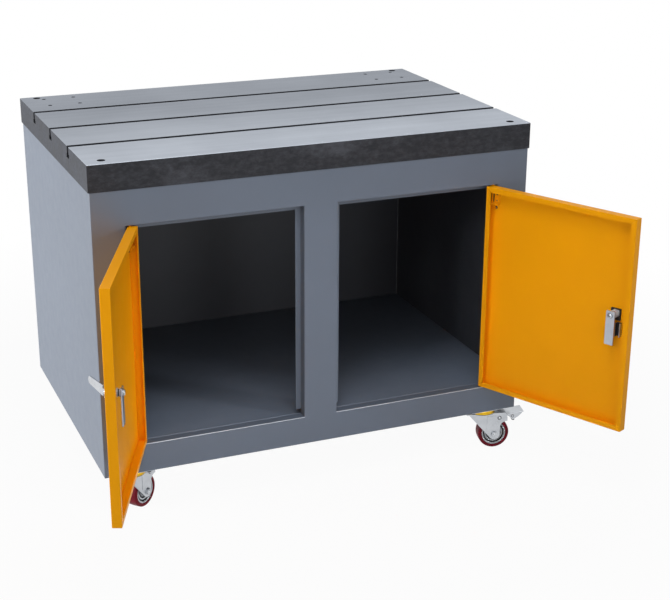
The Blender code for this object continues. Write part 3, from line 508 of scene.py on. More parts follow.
class Finish:
    """A material with one shader, whose changing values come from wires."""

    def __init__(self, name, **constants):
        self.material = bpy.data.materials.new(name)
        self.material.use_nodes = True
        self.tree = self.material.node_tree
        self.shader = self.tree.nodes["Principled BSDF"]
        for socket, value in constants.items():
            self.shader.inputs[socket.replace("_", " ")].default_value = value

    def node(self, kind, inputs=None, output=0, **settings):
        made = self.tree.nodes.new(kind)
        for name, value in settings.items():
            setattr(made, name, value)
        for name, value in (inputs or {}).items():
            if isinstance(value, Wire):
                self.tree.links.new(value.socket, made.inputs[name])
            else:
                made.inputs[name].default_value = value
        return Wire(self, made.outputs[output])

    def place(self):
        return self.node("ShaderNodeTexCoord", output="Object")

    def noise(self, scale, stretch=(1, 1, 1), detail=3.0, roughness=0.55, span=None):
        """Cloudy values from 0 to 1, or a span of them. A small stretch draws them out along that axis."""
        place = self.node("ShaderNodeMapping", {"Vector": self.place(), "Scale": stretch})
        inputs = {"Vector": place, "Scale": scale, "Detail": detail, "Roughness": roughness}
        cloud = self.node("ShaderNodeTexNoise", inputs)
        return self.spread(cloud, *span) if span else cloud

    def depth(self):
        """How far back a point lies."""
        return self.node("ShaderNodeSeparateXYZ", {"Vector": self.place()}, "Y")

    def spread(self, wire, low, high):
        """Stretch the part of a wire from low to high over 0 to 1."""
        inputs = {"Value": wire, "From Min": low, "From Max": high}
        return self.node("ShaderNodeMapRange", inputs, clamp=True)

    def tint(self, factor, first, second):
        ends = [end if isinstance(end, Wire) else (*end, 1) for end in (first, second)]
        return self.node("ShaderNodeMix", {0: factor, 6: ends[0], 7: ends[1]}, 2, data_type="RGBA")

    def give(self, socket, wire):
        self.tree.links.new(wire.socket, self.shader.inputs[socket])

    def coat(self, shade, dark, light, roughness, skin, depth, strength=0.5):
        """Colour it from dark to light by a shade, with a roughness and a bumpy skin of some depth."""
        self.give("Base Color", self.tint(shade, dark, light))
        self.give("Roughness", roughness)
        inputs = {"Height": skin, "Distance": depth, "Strength": strength}
        self.give("Normal", self.node("ShaderNodeBump", inputs))
        return self.material


CLOUD_SPAN = (0.3, 0.7)


def mix_paint(name, colour, clouds, roughness, peel, **constants):
    """A sprayed paint: faint clouds of colour and an orange-peel skin."""
    paint = Finish(name, **constants)
    cloud = paint.noise(7.0, span=CLOUD_SPAN)
    grain = paint.noise(900.0, detail=2.0)
    low = [shade * (1 - clouds) for shade in colour]
    high = [shade * (1 + clouds) for shade in colour]
    paint.coat(cloud * 0.7 + grain * 0.3, low, high, roughness + (paint.noise(40.0) - 0.5) * 0.12,
               paint.noise(650.0, detail=1.0), peel, 1.0)
    return paint


def make_ground_steel():
    """The table's ground face: fine streaks, faint clouds, and a painted reflection brighter towards the
    front.
    """
    steel = Finish("ground_steel", Metallic=1.0)
    streaks = steel.noise(420.0, (0.02, 1, 1), 4.0, 0.65)
    broad = steel.noise(60.0, (0.03, 1, 1), 2.0, span=CLOUD_SPAN)
    clouds = steel.noise(5.0, span=CLOUD_SPAN)
    shade = streaks * 0.45 + broad * 0.2 + clouds * 0.35
    plain = steel.tint(shade, (0.218, 0.240, 0.279), (0.327, 0.355, 0.403))
    front_sheen_tint = steel.tint(shade, (0.338, 0.368, 0.419), (0.496, 0.534, 0.594))
    # Painted reflection: the tint brightens towards the front of the top.
    front_sheen = steel.spread(steel.depth(), 0.10, -0.27)
    return steel.coat(front_sheen, plain, front_sheen_tint, 0.48 + streaks * 0.14, streaks, 0.00002, 0.6)


def make_rolled_steel_and_slot_shade():
    """The plate's dark rolled edges, with lighter worn patches and small pits, also the painted shade of its
    slots and holes.
    """
    steel = Finish("rolled_steel_and_slot_shade", Metallic=0.2, Specular_IOR_Level=0.35)
    patches = steel.noise(14.0, (0.7, 1, 1), 6.0, 0.62, (0.5, 0.78))
    mottle = steel.noise(110.0, (0.6, 1, 1), 5.0, 0.7, (0.42, 0.72))
    scratches = steel.noise(240.0, (0.1, 1, 1), span=(0.55, 0.8))
    shade = patches * 0.55 + mottle * 0.3 + scratches * 0.15
    return steel.coat(shade, (0.011, 0.012, 0.016), (0.088, 0.092, 0.110), 0.58 - patches * 0.12,
                      steel.noise(320.0, detail=5.0), 0.00012, 0.7)


def make_sawn_steel():
    """The plate's two ends, sawn and part cleaned, so paler and blotched."""
    steel = Finish("sawn_steel", Metallic=0.35, Specular_IOR_Level=0.2)
    blotches = steel.noise(26.0, (1, 1, 0.8), 6.0, 0.68, (0.32, 0.68))
    mottle = steel.noise(130.0, (1, 0.7, 1), 5.0, 0.7, (0.35, 0.65))
    lines = steel.noise(500.0, (1, 0.06, 1))
    shade = blotches * 0.5 + mottle * 0.35 + lines * 0.15
    return steel.coat(shade, (0.005, 0.006, 0.009), (0.068, 0.074, 0.092), 0.5 + blotches * 0.1,
                      lines + blotches, 0.00008, 0.6)


def make_metal(name, dark, light, roughness, grain, stretch=(1, 1, 1), metallic=1.0):
    """A plated or drawn metal: small changes of shade and gloss along its grain."""
    metal = Finish(name, Metallic=metallic)
    lines = metal.noise(grain, stretch, 4.0, 0.6)
    clouds = metal.noise(45.0, span=CLOUD_SPAN)
    dull = roughness * (0.8 + lines * 0.4)
    return metal.coat(lines * 0.5 + clouds * 0.5, dark, light, dull, lines, 0.00001)


def make_moulded(name, dark, light, roughness, grain, **constants):
    """A cast or moulded plastic: fine speckle, soft clouds and a slight skin."""
    plastic = Finish(name, **constants)
    speckle = plastic.noise(grain, detail=2.0, span=(0.35, 0.65))
    clouds = plastic.noise(60.0)
    return plastic.coat(speckle * 0.4 + clouds * 0.6, dark, light, roughness + (clouds - 0.5) * 0.1,
                        speckle, 0.00003)


def make_orange_paint():
    """The doors' paint: its clear skin shows only where it is seen at a low angle."""
    orange = mix_paint("orange_gloss_paint", (0.92, 0.372, 0.003), 0.03, 0.40, 0.00003,
                       Specular_IOR_Level=0.08, Coat_Roughness=0.06)
    facing = orange.node("ShaderNodeLayerWeight", {"Blend": 0.5}, "Facing")
    orange.give("Coat Weight", orange.spread(facing, 0.5, 0.9) * 0.04)
    return orange.material


def make_floor_paint():
    """The inside floor's paint, with painted shade that darkens it further in from the front."""
    floor = mix_paint("inside_floor_paint", (0.150, 0.182, 0.240), 0.06, 0.42, 0.00004)
    unshaded_colour = Wire(floor, floor.shader.inputs["Base Color"].links[0].from_socket)
    # Painted shade: darker with depth behind the openings.
    reach = floor.depth() + (floor.noise(9.0) - 0.5) * 0.12
    floor.give("Base Color", floor.tint(floor.spread(reach, -0.28, 0.10), unshaded_colour, (0.078, 0.092, 0.120)))
    return floor.material


GREY_PAINT = mix_paint("grey_powder_paint", (0.120, 0.146, 0.194), 0.045, 0.42, 0.00004).material
# Painted shade for the cabinet's inner faces.
INSIDE_PAINTED_SHADE = mix_paint("inside_painted_shade", (0.042, 0.045, 0.056), 0.08, 0.50, 0.00004).material
FLOOR_PAINT = make_floor_paint()
ORANGE_PAINT = make_orange_paint()
GROUND_STEEL = make_ground_steel()
ROLLED_STEEL_AND_SLOT_SHADE = make_rolled_steel_and_slot_shade()
SAWN_STEEL = make_sawn_steel()
BRIGHT_ZINC = make_metal("bright_zinc", (0.42, 0.44, 0.47), (0.60, 0.62, 0.65), 0.30, 260.0)
CHROME = make_metal("satin_chrome", (0.50, 0.52, 0.55), (0.64, 0.66, 0.69), 0.18, 500.0)
CAST_ZINC = make_metal("cast_zinc_hub", (0.46, 0.48, 0.52), (0.64, 0.66, 0.70), 0.32, 300.0, metallic=0.15)
# A paler metal used as a painted highlight along the sill's fold.
SILL_PAINTED_HIGHLIGHT = make_metal("sill_painted_highlight", (0.36, 0.39, 0.44), (0.62, 0.65, 0.70), 0.36, 220.0, metallic=0.3)
# Painted shade for the grooves of the lock hub and of the wheel core.
GROOVE_PAINTED_SHADE = make_moulded("groove_painted_shade", (0.030, 0.031, 0.034), (0.060, 0.062, 0.066), 0.5, 600.0)
CAM_STEEL = make_metal("brushed_cam_steel", (0.40, 0.44, 0.51), (0.56, 0.60, 0.67), 0.36, 700.0,
                       (1, 1, 0.05))
YELLOW_PLATE = make_metal("yellow_plating", (0.66, 0.40, 0.02), (0.80, 0.52, 0.05), 0.38, 300.0)
# Black oxide for the screws, studs and lock body, and painted shade in gaps, hollows and dips.
BLACK_OXIDE_AND_PAINTED_SHADE = make_moulded("black_oxide_and_painted_shade", (0.010, 0.010, 0.012), (0.028, 0.028, 0.032), 0.5, 500.0)
# Black rubber for the pedal's foot, and painted shade behind and under the upper hinge pin.
BLACK_RUBBER_AND_PAINTED_SHADE = make_moulded("black_rubber_and_painted_shade", (0.008, 0.008, 0.009), (0.020, 0.020, 0.022), 0.6, 700.0)
RED_TREAD = make_moulded("red_tread", (0.120, 0.004, 0.011), (0.180, 0.008, 0.019), 0.45, 420.0,
                         Specular_IOR_Level=0.12)
PALE_CORE = make_moulded("pale_wheel_core", (0.42, 0.44, 0.47), (0.54, 0.56, 0.59), 0.42, 600.0)


def paint(piece, finish):
    clear_bench()
    piece.data.materials.clear()
    piece.data.materials.append(finish)
    return piece


def paint_faces(piece, finish, test):
    """Give some faces of a painted piece another finish."""
    if finish.name not in piece.data.materials:
        piece.data.materials.append(finish)
    start_shaping(piece)
    pick_faces(test)
    piece.active_material_index = piece.data.materials.find(finish.name)
    bpy.ops.object.material_slot_assign()
    clear_bench()


# Table

def table_holes(low, high):
    """Drills for the corner screws and for the two squares of tapped holes."""
    mouth = high.z - HOLE_CHAMFER
    above = high.z + HOLE_CHAMFER
    below = low.z - SHEET
    flare = 2 * HOLE_CHAMFER
    wide = BOLT_HOLE / 2
    narrow = BOLT_SHANK_HOLE / 2
    seat = low.z + BOLT_SEAT
    profile = [(0, below), (narrow, below), (narrow, seat), (wide, seat), (wide, mouth),
               (wide + flare, above), (0, above)]
    tools = []
    for corner in CORNERS:
        screw_low, screw_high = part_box("table_bolt_" + corner)
        spot = (screw_low + screw_high) / 2
        tools.append(lathe("screw_drill", profile, "Z", (spot.x, spot.y, 0), sides=40))
    radius = ARM_HOLE / 2
    floor = high.z - ARM_HOLE_DEPTH
    profile = [(0, floor), (radius, floor + radius / 2), (radius, mouth), (radius + flare, above),
               (0, above)]
    for side in BOTH_SIDES:
        for column in (0, 1):
            for row in (0, 1):
                x = side * (high.x - ARM_HOLE_FROM_END - column * ARM_HOLE_PITCH)
                y = high.y - ARM_HOLE_FROM_BACK - row * ARM_HOLE_PITCH
                tools.append(lathe("arm_drill", profile, "Z", (x, y, 0)))
    return tools


def slot_cutter(middle_y, low, high):
    """A T-slot milling cutter run along the whole table."""
    floor = high.z - SLOT_DEPTH
    head_top = floor + SLOT_HEAD_HEIGHT
    beyond = 4 * HOLE_CHAMFER
    half = SLOT_HEAD / 2
    cutter = block("slot_cutter", (low.x - beyond, middle_y - half, floor),
                   (high.x + beyond, middle_y + half, head_top))
    for side in BOTH_SIDES:
        slice_at((0, middle_y + side * SLOT_NECK / 2, 0), (0, 1, 0))
    pick_faces(lambda spot, normal: normal.z > FACING and abs(spot.y - middle_y) < TINY)
    push(0, 0, high.z - HOLE_CHAMFER - head_top)
    push(0, 0, 2 * HOLE_CHAMFER)
    bpy.ops.transform.resize(value=(1, 1 + 4 * HOLE_CHAMFER / SLOT_NECK, 1),
                             center_override=(0, middle_y, high.z))
    tidy_mesh()
    return cutter


def make_table_plate():
    low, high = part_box("table_plate")
    level = 0.99
    sloping = 0.2

    def is_ground(spot, normal):
        """The top face, and the upper half of the rounds along its outer edges."""
        if normal.z > level:
            return spot.z > high.z - TINY
        outwards = max(abs(spot.x) - high.x, low.y - spot.y, spot.y - high.y)
        return normal.z > sloping and outwards > -TABLE_CHAMFER

    def is_end(spot, normal):
        return abs(normal.x) > FACING and abs(spot.x) > high.x - TABLE_CHAMFER

    plate = block("table_top", low, high)
    ease_edges(TABLE_CHAMFER, 3)
    tools = [slot_cutter(y, low, high) for y in (-SLOT_PITCH, 0, SLOT_PITCH)]
    combine(plate, tools + table_holes(low, high))
    # The slots, the holes and their chamfered mouths keep the dark rolled finish, as painted shade in these
    # recesses.
    paint(plate, ROLLED_STEEL_AND_SLOT_SHADE)
    paint_faces(plate, GROUND_STEEL, is_ground)
    paint_faces(plate, SAWN_STEEL, is_end)
    finish_piece(plate, "cabinet", ["table_plate"])


def make_table_screws():
    """Socket head screws down in the table's corner holes."""
    shank = 0.005
    head_height = 0.010
    edge = 0.0006
    key_across = 0.008
    key_depth = 0.005
    for corner in CORNERS:
        node = "table_bolt_" + corner
        low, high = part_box(node)
        spot = ((low.x + high.x) / 2, (low.y + high.y) / 2)
        head = (high.x - low.x) / 2
        under = high.z - head_height
        profile = [(0, low.z), (shank - edge, low.z), (shank, low.z + edge), (shank, under), (head, under),
                   (head, high.z - edge), (head - edge, high.z), (0, high.z)]
        screw = lathe("table_screw_" + corner, profile, "Z", (*spot, 0))
        combine(screw, [cut_out("key", hexagon(key_across), "Z", high.z - key_depth, high.z + edge, spot)])
        paint(screw, BLACK_OXIDE_AND_PAINTED_SHADE)
        finish_piece(screw, "cabinet", [node])


# Cabinet

def hinge_pivot(side):
    return Vector(JOINTS[side + "_door_hinge"]["pos_m"])


def make_front_frame():
    """The folded front sheet: jambs turned in round both openings, and stop lips that end above the sill."""
    low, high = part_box("front_frame")
    front = flat_sheet("front_sheet", low, (high.x, low.y, high.z))
    for x in (-OPENING_OUTER, -OPENING_INNER, OPENING_INNER, OPENING_OUTER):
        slice_at((x, 0, 0), (1, 0, 0))
    for z in (SILL, LINTEL):
        slice_at((0, 0, z), (0, 0, 1))
    stop = low.y + JAMB_DEPTH
    for side in BOTH_SIDES:
        opening = Vector((side * (OPENING_INNER + OPENING_OUTER) / 2, low.y, (SILL + LINTEL) / 2))
        pick_faces(lambda spot, normal: (spot - opening).length < STOP_LIP)
        push(0, JAMB_DEPTH, 0)
        bpy.ops.mesh.inset(thickness=STOP_LIP, depth=0)
        bpy.ops.mesh.delete(type="FACE")
    lip_end = SILL + LIP_CUTAWAY
    pick_faces(lambda spot, normal: spot.y > stop - TINY)
    bpy.ops.mesh.bisect(plane_co=(0, 0, lip_end), plane_no=(0, 0, 1))
    pick_faces(lambda spot, normal: spot.y > stop - TINY and spot.z < lip_end)
    bpy.ops.mesh.delete(type="FACE")
    ease_edges(FOLD, 4, SQUARE_TURN, lambda spot: abs(spot.y - low.y) < TINY)
    ease_edges(FOLD / 2, 3, SQUARE_TURN, lambda spot: abs(spot.y - stop) < TINY)
    thicken(front, SHEET)
    start_shaping(front)
    ease_edges(FRONT_CORNER, 3, SQUARE_TURN,
               lambda spot: abs(spot.y - low.y) < TINY and abs(spot.x) > high.x - TINY)
    pivot = hinge_pivot("left")
    holes = [(side * pivot.x, pivot.y, z) for side in BOTH_SIDES for z in (SILL, LINTEL)]
    drill(front, PIN_HOLE, "Z", -2 * SHEET, 2 * SHEET, *holes)
    paint(front, GREY_PAINT)
    # A painted highlight on the rounded fold of the sill.
    slant = 0.3
    paint_faces(front, SILL_PAINTED_HIGHLIGHT,
                lambda spot, normal: abs(spot.z - SILL) < FOLD and normal.y < -slant and normal.z > slant)
    finish_piece(front, "cabinet", ["front_frame"])


def make_panels():
    """Sides, back and base: plain sheets with eased edges, and painted shade on their inner faces."""
    insides = {"left_side": (1, 0, 0), "right_side": (-1, 0, 0), "back_panel": (0, -1, 0),
               "base_plate": (0, 0, 1)}
    for node, inward in insides.items():
        panel = block(node + "_sheet", *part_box(node))
        ease_edges(SHEET_EDGE, 3)
        paint(panel, GREY_PAINT)
        paint_faces(panel, INSIDE_PAINTED_SHADE, lambda spot, normal: normal.dot(Vector(inward)) > FACING)
        finish_piece(panel, "cabinet", [node])


def make_cabinet_floor():
    """The inside floor, folded down all round."""
    low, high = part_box("cabinet_floor")
    floor = flat_sheet("inside_floor", (low.x, low.y, high.z), high)
    pick_rim()
    push(0, 0, low.z - high.z)
    ease_edges(FOLD, 4, SQUARE_TURN)
    thicken(floor, SHEET)
    paint(floor, FLOOR_PAINT)
    finish_piece(floor, "cabinet", ["cabinet_floor"])


def make_angle_frame():
    """The welded angle-iron ring under the table."""
    low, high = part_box("angle_frame")
    ring = flat_sheet("angle_ring", (low.x, low.y, high.z), high)
    bpy.ops.mesh.inset(thickness=ANGLE_WIDTH, depth=0)
    bpy.ops.mesh.delete(type="FACE")
    pick_rim(lambda spot: max(abs(spot.x) - high.x, abs(spot.y) - high.y) > -TINY)
    push(0, 0, -ANGLE_HEIGHT)
    ease_edges(ANGLE_EDGE, 3, SQUARE_TURN)
    thicken(ring, ANGLE_THICK)
    paint(ring, GREY_PAINT)
    finish_piece(ring, "cabinet", ["angle_frame"])


# Doors, in a frame on the hinge line with the door shut, the free edge towards +X and the outside towards -Y

def make_door_pan():
    """A folded pan: skin, flanges, lips that meet in open mitres, and a welded lower hinge pin."""
    near = -PIVOT_FROM_EDGE
    far = DOOR_WIDTH - PIVOT_FROM_EDGE
    outside = -PIVOT_FROM_FACE
    pan = flat_sheet("door_pan", (near, outside, DOOR_BOTTOM), (far, outside, DOOR_TOP))
    pick_rim()
    push(0, DOOR_DEPTH, 0)
    centre = ((near + far) / 2, outside + DOOR_DEPTH, (DOOR_BOTTOM + DOOR_TOP) / 2)
    mitre = 2 * (DOOR_LIP + MITRE_GAP)
    shorter = ((DOOR_WIDTH - mitre) / DOOR_WIDTH, 1, 1)
    lower = (1, 1, (DOOR_TOP - DOOR_BOTTOM - mitre) / (DOOR_TOP - DOOR_BOTTOM))
    lips = [(0, near, DOOR_LIP, lower), (0, far, -DOOR_LIP, lower),
            (2, DOOR_BOTTOM, DOOR_LIP, shorter), (2, DOOR_TOP, -DOOR_LIP, shorter)]
    for axis, place, step, shrink in lips:
        pick_rim(lambda spot: abs(spot[axis] - place) < TINY)
        push(step if axis == 0 else 0, 0, step if axis == 2 else 0)
        bpy.ops.transform.resize(value=shrink, center_override=centre)
    ease_edges(DOOR_FOLD, 4, SQUARE_TURN)
    thicken(pan, DOOR_SHEET)
    lock = Vector((LOCK_X, outside, LOCK_Z))
    half = BODY_WIDTH / 2 + GAP
    window = block("window", lock + Vector((-half, -DOOR_SHEET, -BODY_BELOW - GAP)),
                   lock + Vector((half, 2 * DOOR_SHEET, BODY_ABOVE + GAP)))
    ease_edges(WINDOW_CORNER, 3, SQUARE_TURN, lambda spot: abs(spot.y - outside - DOOR_SHEET / 2) < TINY)
    combine(pan, [window])
    drill(pan, STUD_RADIUS + GAP, "Y", -DOOR_SHEET, 2 * DOOR_SHEET, lock + Vector(STUD_SPOT))
    drill(pan, PIN_HOLE, "Z", -2 * DOOR_SHEET, DOOR_SHEET, (0, 0, DOOR_TOP))
    foot = DOOR_BOTTOM - PIN_REACH
    edge = PIN_RADIUS / 4
    weld = DOOR_BOTTOM + edge
    profile = [(0, foot), (PIN_RADIUS - edge, foot), (PIN_RADIUS, foot + edge),
               (PIN_RADIUS, DOOR_BOTTOM - edge), (PIN_RADIUS * 1.5, weld), (0, weld)]
    return paint(join(pan, lathe("lower_pin", profile, sides=24)), ORANGE_PAINT)


def make_hinge_pin():
    """The upper hinge pin: a rod with a turned-down waist, bent into a short handle."""
    clear_bench()
    bpy.ops.mesh.primitive_circle_add(vertices=24, radius=PIN_RADIUS, fill_type="NGON",
                                      location=(0, 0, DOOR_TOP + PIN_REACH))
    pin = name_piece("upper_pin")
    push(0, 0, -PIN_REACH - PIN_LENGTH)
    bpy.ops.mesh.spin(steps=8, angle=PIN_TURN, center=(PIN_BEND, 0, DOOR_TOP - PIN_LENGTH), axis=(0, -1, 0))
    push(PIN_HANDLE * math.sin(PIN_TURN), 0, -PIN_HANDLE * math.cos(PIN_TURN))
    tidy_mesh()
    ease_edges(PIN_RADIUS / 4, 3, STEEP_TURN)
    taper = 0.0015
    waist = 0.7
    top = DOOR_TOP - 2 * DOOR_SHEET
    bottom = DOOR_TOP - DOOR_LIP - GUIDE_HEIGHT + 2 * GUIDE_THICK
    for z in (top, top - taper, bottom + taper, bottom):
        slice_at((0, 0, z), (0, 0, 1))
    pick("VERT", lambda corner: bottom + taper - TINY < corner.co.z < top - taper + TINY)
    bpy.ops.transform.resize(value=(waist, waist, 1), center_override=(0, 0, 0))
    return paint(pin, ORANGE_PAINT)


def make_pin_guide():
    """The foot and tab that the upper pin slides through, held to the skin by hollow rivets."""
    foot = DOOR_SHEET - PIVOT_FROM_FACE + GAP
    face = foot + GUIDE_THICK
    top = DOOR_TOP - DOOR_LIP - GAP
    bottom = top - GUIDE_HEIGHT
    tab_top = bottom + GUIDE_THICK
    right = GUIDE_START + GUIDE_WIDTH
    guide = block("pin_foot", (GUIDE_START, foot, bottom), (right, face, top))
    slice_at((0, 0, tab_top), (0, 0, 1))
    pick_faces(lambda spot, normal: normal.y > FACING and spot.z < tab_top)
    push(0, GUIDE_REACH - GUIDE_THICK, 0)
    pick_faces(lambda spot, normal: normal.x < -FACING and spot.z < tab_top)
    push(DOOR_SHEET + GAP - PIVOT_FROM_EDGE - GUIDE_START, 0, 0)
    tidy_mesh()
    ease_edges(SMALL_EDGE)
    drill(guide, PIN_HOLE, "Z", -GUIDE_THICK, 2 * GUIDE_THICK, (0, 0, bottom))
    head = 0.0028
    crown = face + 0.0010
    dish = face + 0.0002
    profile = [(0, face - GAP), (head, face - GAP), (head, face + 0.0004), (0.0024, crown), (0.0019, crown),
               (0.0016, dish), (0, dish)]
    x = (GUIDE_START + right) / 2
    rivets = [lathe("rivet", profile, "Y", (x, 0, z), sides=20) for z in (bottom + 0.008, top - 0.006)]
    paint(join(guide, *rivets), ORANGE_PAINT)
    # Painted shade in the hollows of the rivets.
    paint_faces(guide, BLACK_OXIDE_AND_PAINTED_SHADE, lambda spot, normal: normal.y > FACING and abs(spot.y - dish) < TINY)
    return guide


def make_pin_shade_strip():
    """Painted shade: a dark strip on the skin under the upper pin, and a rubber stop beside its handle."""
    thick = 0.0006
    foot = DOOR_SHEET - PIVOT_FROM_FACE
    low = DOOR_SHEET - PIVOT_FROM_EDGE + GAP
    top = DOOR_TOP - DOOR_LIP + DOOR_SHEET
    bottom = DOOR_TOP - DOOR_LIP - GUIDE_HEIGHT + GUIDE_THICK + GAP
    shade_strip = block("pin_shade_strip", (low, foot, bottom), (GUIDE_START - GAP, foot + thick, top))
    ease_edges(thick / 3, 1)
    radius = 0.0032
    profile = [(0, foot), (radius, foot), (radius, foot + 0.0012), (0.0024, foot + 0.0020),
               (0, foot + 0.0022)]
    spot = (PIN_BEND + 0.002, 0, DOOR_TOP - PIN_LENGTH - 0.001)
    # Painted shade: the strip in the dark slits, the stop where the handle's shadow falls.
    return paint(join(shade_strip, lathe("stop", profile, "Y", spot, sides=24)), BLACK_RUBBER_AND_PAINTED_SHADE)


# Locks, in a frame on the spindle's axis at the door's outer face

def make_lock_plate():
    """The bezel with its button block, the button's pocket and a bore for the spindle."""
    half = BEZEL_WIDTH / 2
    outline = rounded(-half, half, -BEZEL_BELOW, BEZEL_ABOVE, BEZEL_CORNER)
    plate = cut_out("lock_plate", outline, "Y", -GAP - BEZEL_THICK, -GAP)
    pick_faces(lambda spot, normal: normal.y < -FACING)
    bpy.ops.mesh.inset(thickness=BEZEL_BORDER, depth=-BEZEL_SUNK)
    ease_edges(HAIR_EDGE)
    outline = rounded(-half + GAP, half - GAP, GAP - BEZEL_BELOW, -BLOCK_START, BEZEL_CORNER - GAP)
    pad = cut_out("button_block", outline, "Y", -BLOCK_HEIGHT, -BEZEL_THICK / 2)
    ease_edges(SOFT_EDGE, 3, STEEP_TURN)
    combine(plate, [pad], "UNION")
    button = Vector((0, 0, BUTTON_Z))
    room = Vector((BUTTON_WIDTH / 2 + GAP, 0, BUTTON_LENGTH / 2 + GAP))
    floor = Vector((0, BUTTON_HEIGHT + BUTTON_TRAVEL + GAP - BUTTON_PROUD - BLOCK_HEIGHT, 0))
    pocket = block("pocket", button - room - Vector((0, 2 * BLOCK_HEIGHT, 0)), button + room + floor)
    combine(plate, [pocket])
    drill(plate, SPINDLE_RADIUS + GAP, "Y", -BLOCK_HEIGHT, 2 * BODY_DEPTH, (0, 0, 0), sides=40)
    return paint(plate, CHROME)


def make_lock_body():
    """The body that fills the window in the door: a box, open at the back round the spindle."""
    half = BODY_WIDTH / 2
    body = block("lock_body", (-half, -GAP, -BODY_BELOW), (half, BODY_DEPTH, BODY_ABOVE))
    pick_faces(lambda spot, normal: normal.y > FACING)
    bpy.ops.mesh.inset(thickness=BODY_WALL)
    push(0, -BODY_HOLLOW, 0)
    ease_edges(FINE_EDGE)
    drill(body, SPINDLE_RADIUS + GAP, "Y", -BODY_DEPTH, 2 * BODY_DEPTH, (0, 0, 0), sides=40)
    return paint(body, BLACK_OXIDE_AND_PAINTED_SHADE)


def make_stud():
    """The housing's stud and the nut that holds the clip."""
    edge = 0.0004
    nut_across = 0.0072
    nut_height = 0.0022
    end = DOOR_SHEET + CLIP_SHEET + 0.0033
    seat = DOOR_SHEET + CLIP_SHEET + 2 * GAP
    profile = [(0, -GAP), (STUD_RADIUS, -GAP), (STUD_RADIUS, end - edge),
               (STUD_RADIUS - edge, end), (0, end)]
    stud = lathe("clip_stud", profile, "Y", STUD_SPOT, sides=24)
    nut = cut_out("nut", hexagon(nut_across), "Y", seat, seat + nut_height, (STUD_SPOT[0], STUD_SPOT[2]))
    ease_edges(HAIR_EDGE)
    return paint(join(stud, nut), BLACK_OXIDE_AND_PAINTED_SHADE)


def make_spindle():
    """The turning core: a slotted head outside, and a ribbed hub that stands in to the cam."""
    face = -HEAD_FOOT - HEAD_HEIGHT
    edge = 0.0006
    start = BODY_DEPTH + edge
    end = CAM_FACE - GAP
    ribs = 3
    rib = (end - start) / ribs
    waist = SPINDLE_RADIUS - 0.0022
    profile = [(0, face), (HEAD_RADIUS - edge, face), (HEAD_RADIUS, face + edge), (HEAD_RADIUS, -HEAD_FOOT),
               (SPINDLE_RADIUS, -HEAD_FOOT), (SPINDLE_RADIUS, start)]
    for foot in [start + i * rib for i in range(ribs)]:
        profile += [(waist, foot + 0.0003), (waist, foot + 0.0029), (SPINDLE_RADIUS - edge, foot + 0.0031),
                    (SPINDLE_RADIUS, foot + 0.0036), (SPINDLE_RADIUS, foot + rib - 0.0003)]
    profile += [(SPINDLE_RADIUS, end - edge), (SPINDLE_RADIUS - edge, end), (0, end)]
    spindle = lathe("lock_core", profile, "Y", sides=48)
    half = LEVER_ROOT_WIDTH / 2 + GAP
    slot_floor = -0.0007
    slot = block("slot", (-2 * HEAD_RADIUS, 2 * face, -half), (2 * HEAD_RADIUS, slot_floor, half))
    combine(spindle, [slot])
    paint(spindle, CHROME)
    paint_faces(spindle, CAST_ZINC, lambda spot, normal: spot.y > 0)
    # Painted shade in the grooves between the hub's ribs.
    paint_faces(spindle, GROOVE_PAINTED_SHADE, lambda spot, normal: spot.y > 0 and abs(normal.y) < 0.1
                and math.hypot(spot.x, spot.z) < waist + edge)
    return spindle


def make_lever():
    """The flip-out lever: a tapering bar with a round tip, swung out on its cross pin."""
    root = LEVER_ROOT_WIDTH / 2
    half = LEVER_WIDTH / 2
    tip = LEVER_TIP_WIDTH / 2
    start = [(0, -root), (LEVER_SHOULDER, -root), (LEVER_SHOULDER, -half)]
    end = [(x, -z) for x, z in reversed(start)]
    outline = start + arc((LEVER_LENGTH - tip, 0), tip, -math.pi / 2, math.pi / 2, 14) + end
    lever = cut_out("flip_lever", [(-x, z) for x, z in outline], "Y", -LEVER_RISE - LEVER_THICK / 2,
                    LEVER_THICK / 2 - LEVER_RISE)
    ease_edges(LEVER_EDGE, 3, STEEP_TURN)
    reach = HEAD_RADIUS - GAP
    profile = both_ways([(0, reach), (LEVER_PIN, reach), (LEVER_PIN, root), (LEVER_EYE, root)])
    combine(lever, [lathe("lever_eye", profile, sides=24)], "UNION")
    take_up(lever)
    lever.matrix_world = Matrix.Translation((0, -LEVER_HEIGHT, 0)) @ Matrix.Rotation(LEVER_OUT, 4, "Z")
    return paint(settle(lever), CHROME)


def make_button():
    half = BUTTON_WIDTH / 2
    height = BUTTON_LENGTH / 2
    low = -BLOCK_HEIGHT - BUTTON_PROUD
    outline = rounded(-half, half, -height, height, BUTTON_CORNER, 3)
    button = cut_out("push_button", outline, "Y", low, low + BUTTON_HEIGHT, (0, BUTTON_Z))
    ease_edges(FINE_EDGE, 3, STEEP_TURN)
    return paint(button, CHROME)


def make_cam():
    """The flat cam that turns behind the stile."""
    half = CAM_WIDTH / 2
    outline = rounded(-half, half, CAM_ABOVE - CAM_LENGTH, CAM_ABOVE, CAM_CORNER, 4)
    cam = cut_out("lock_cam", outline, "Y", CAM_FACE, CAM_FACE + CAM_THICK)
    ease_edges(FINE_EDGE, 2, STEEP_TURN)
    return paint(cam, CAM_STEEL)


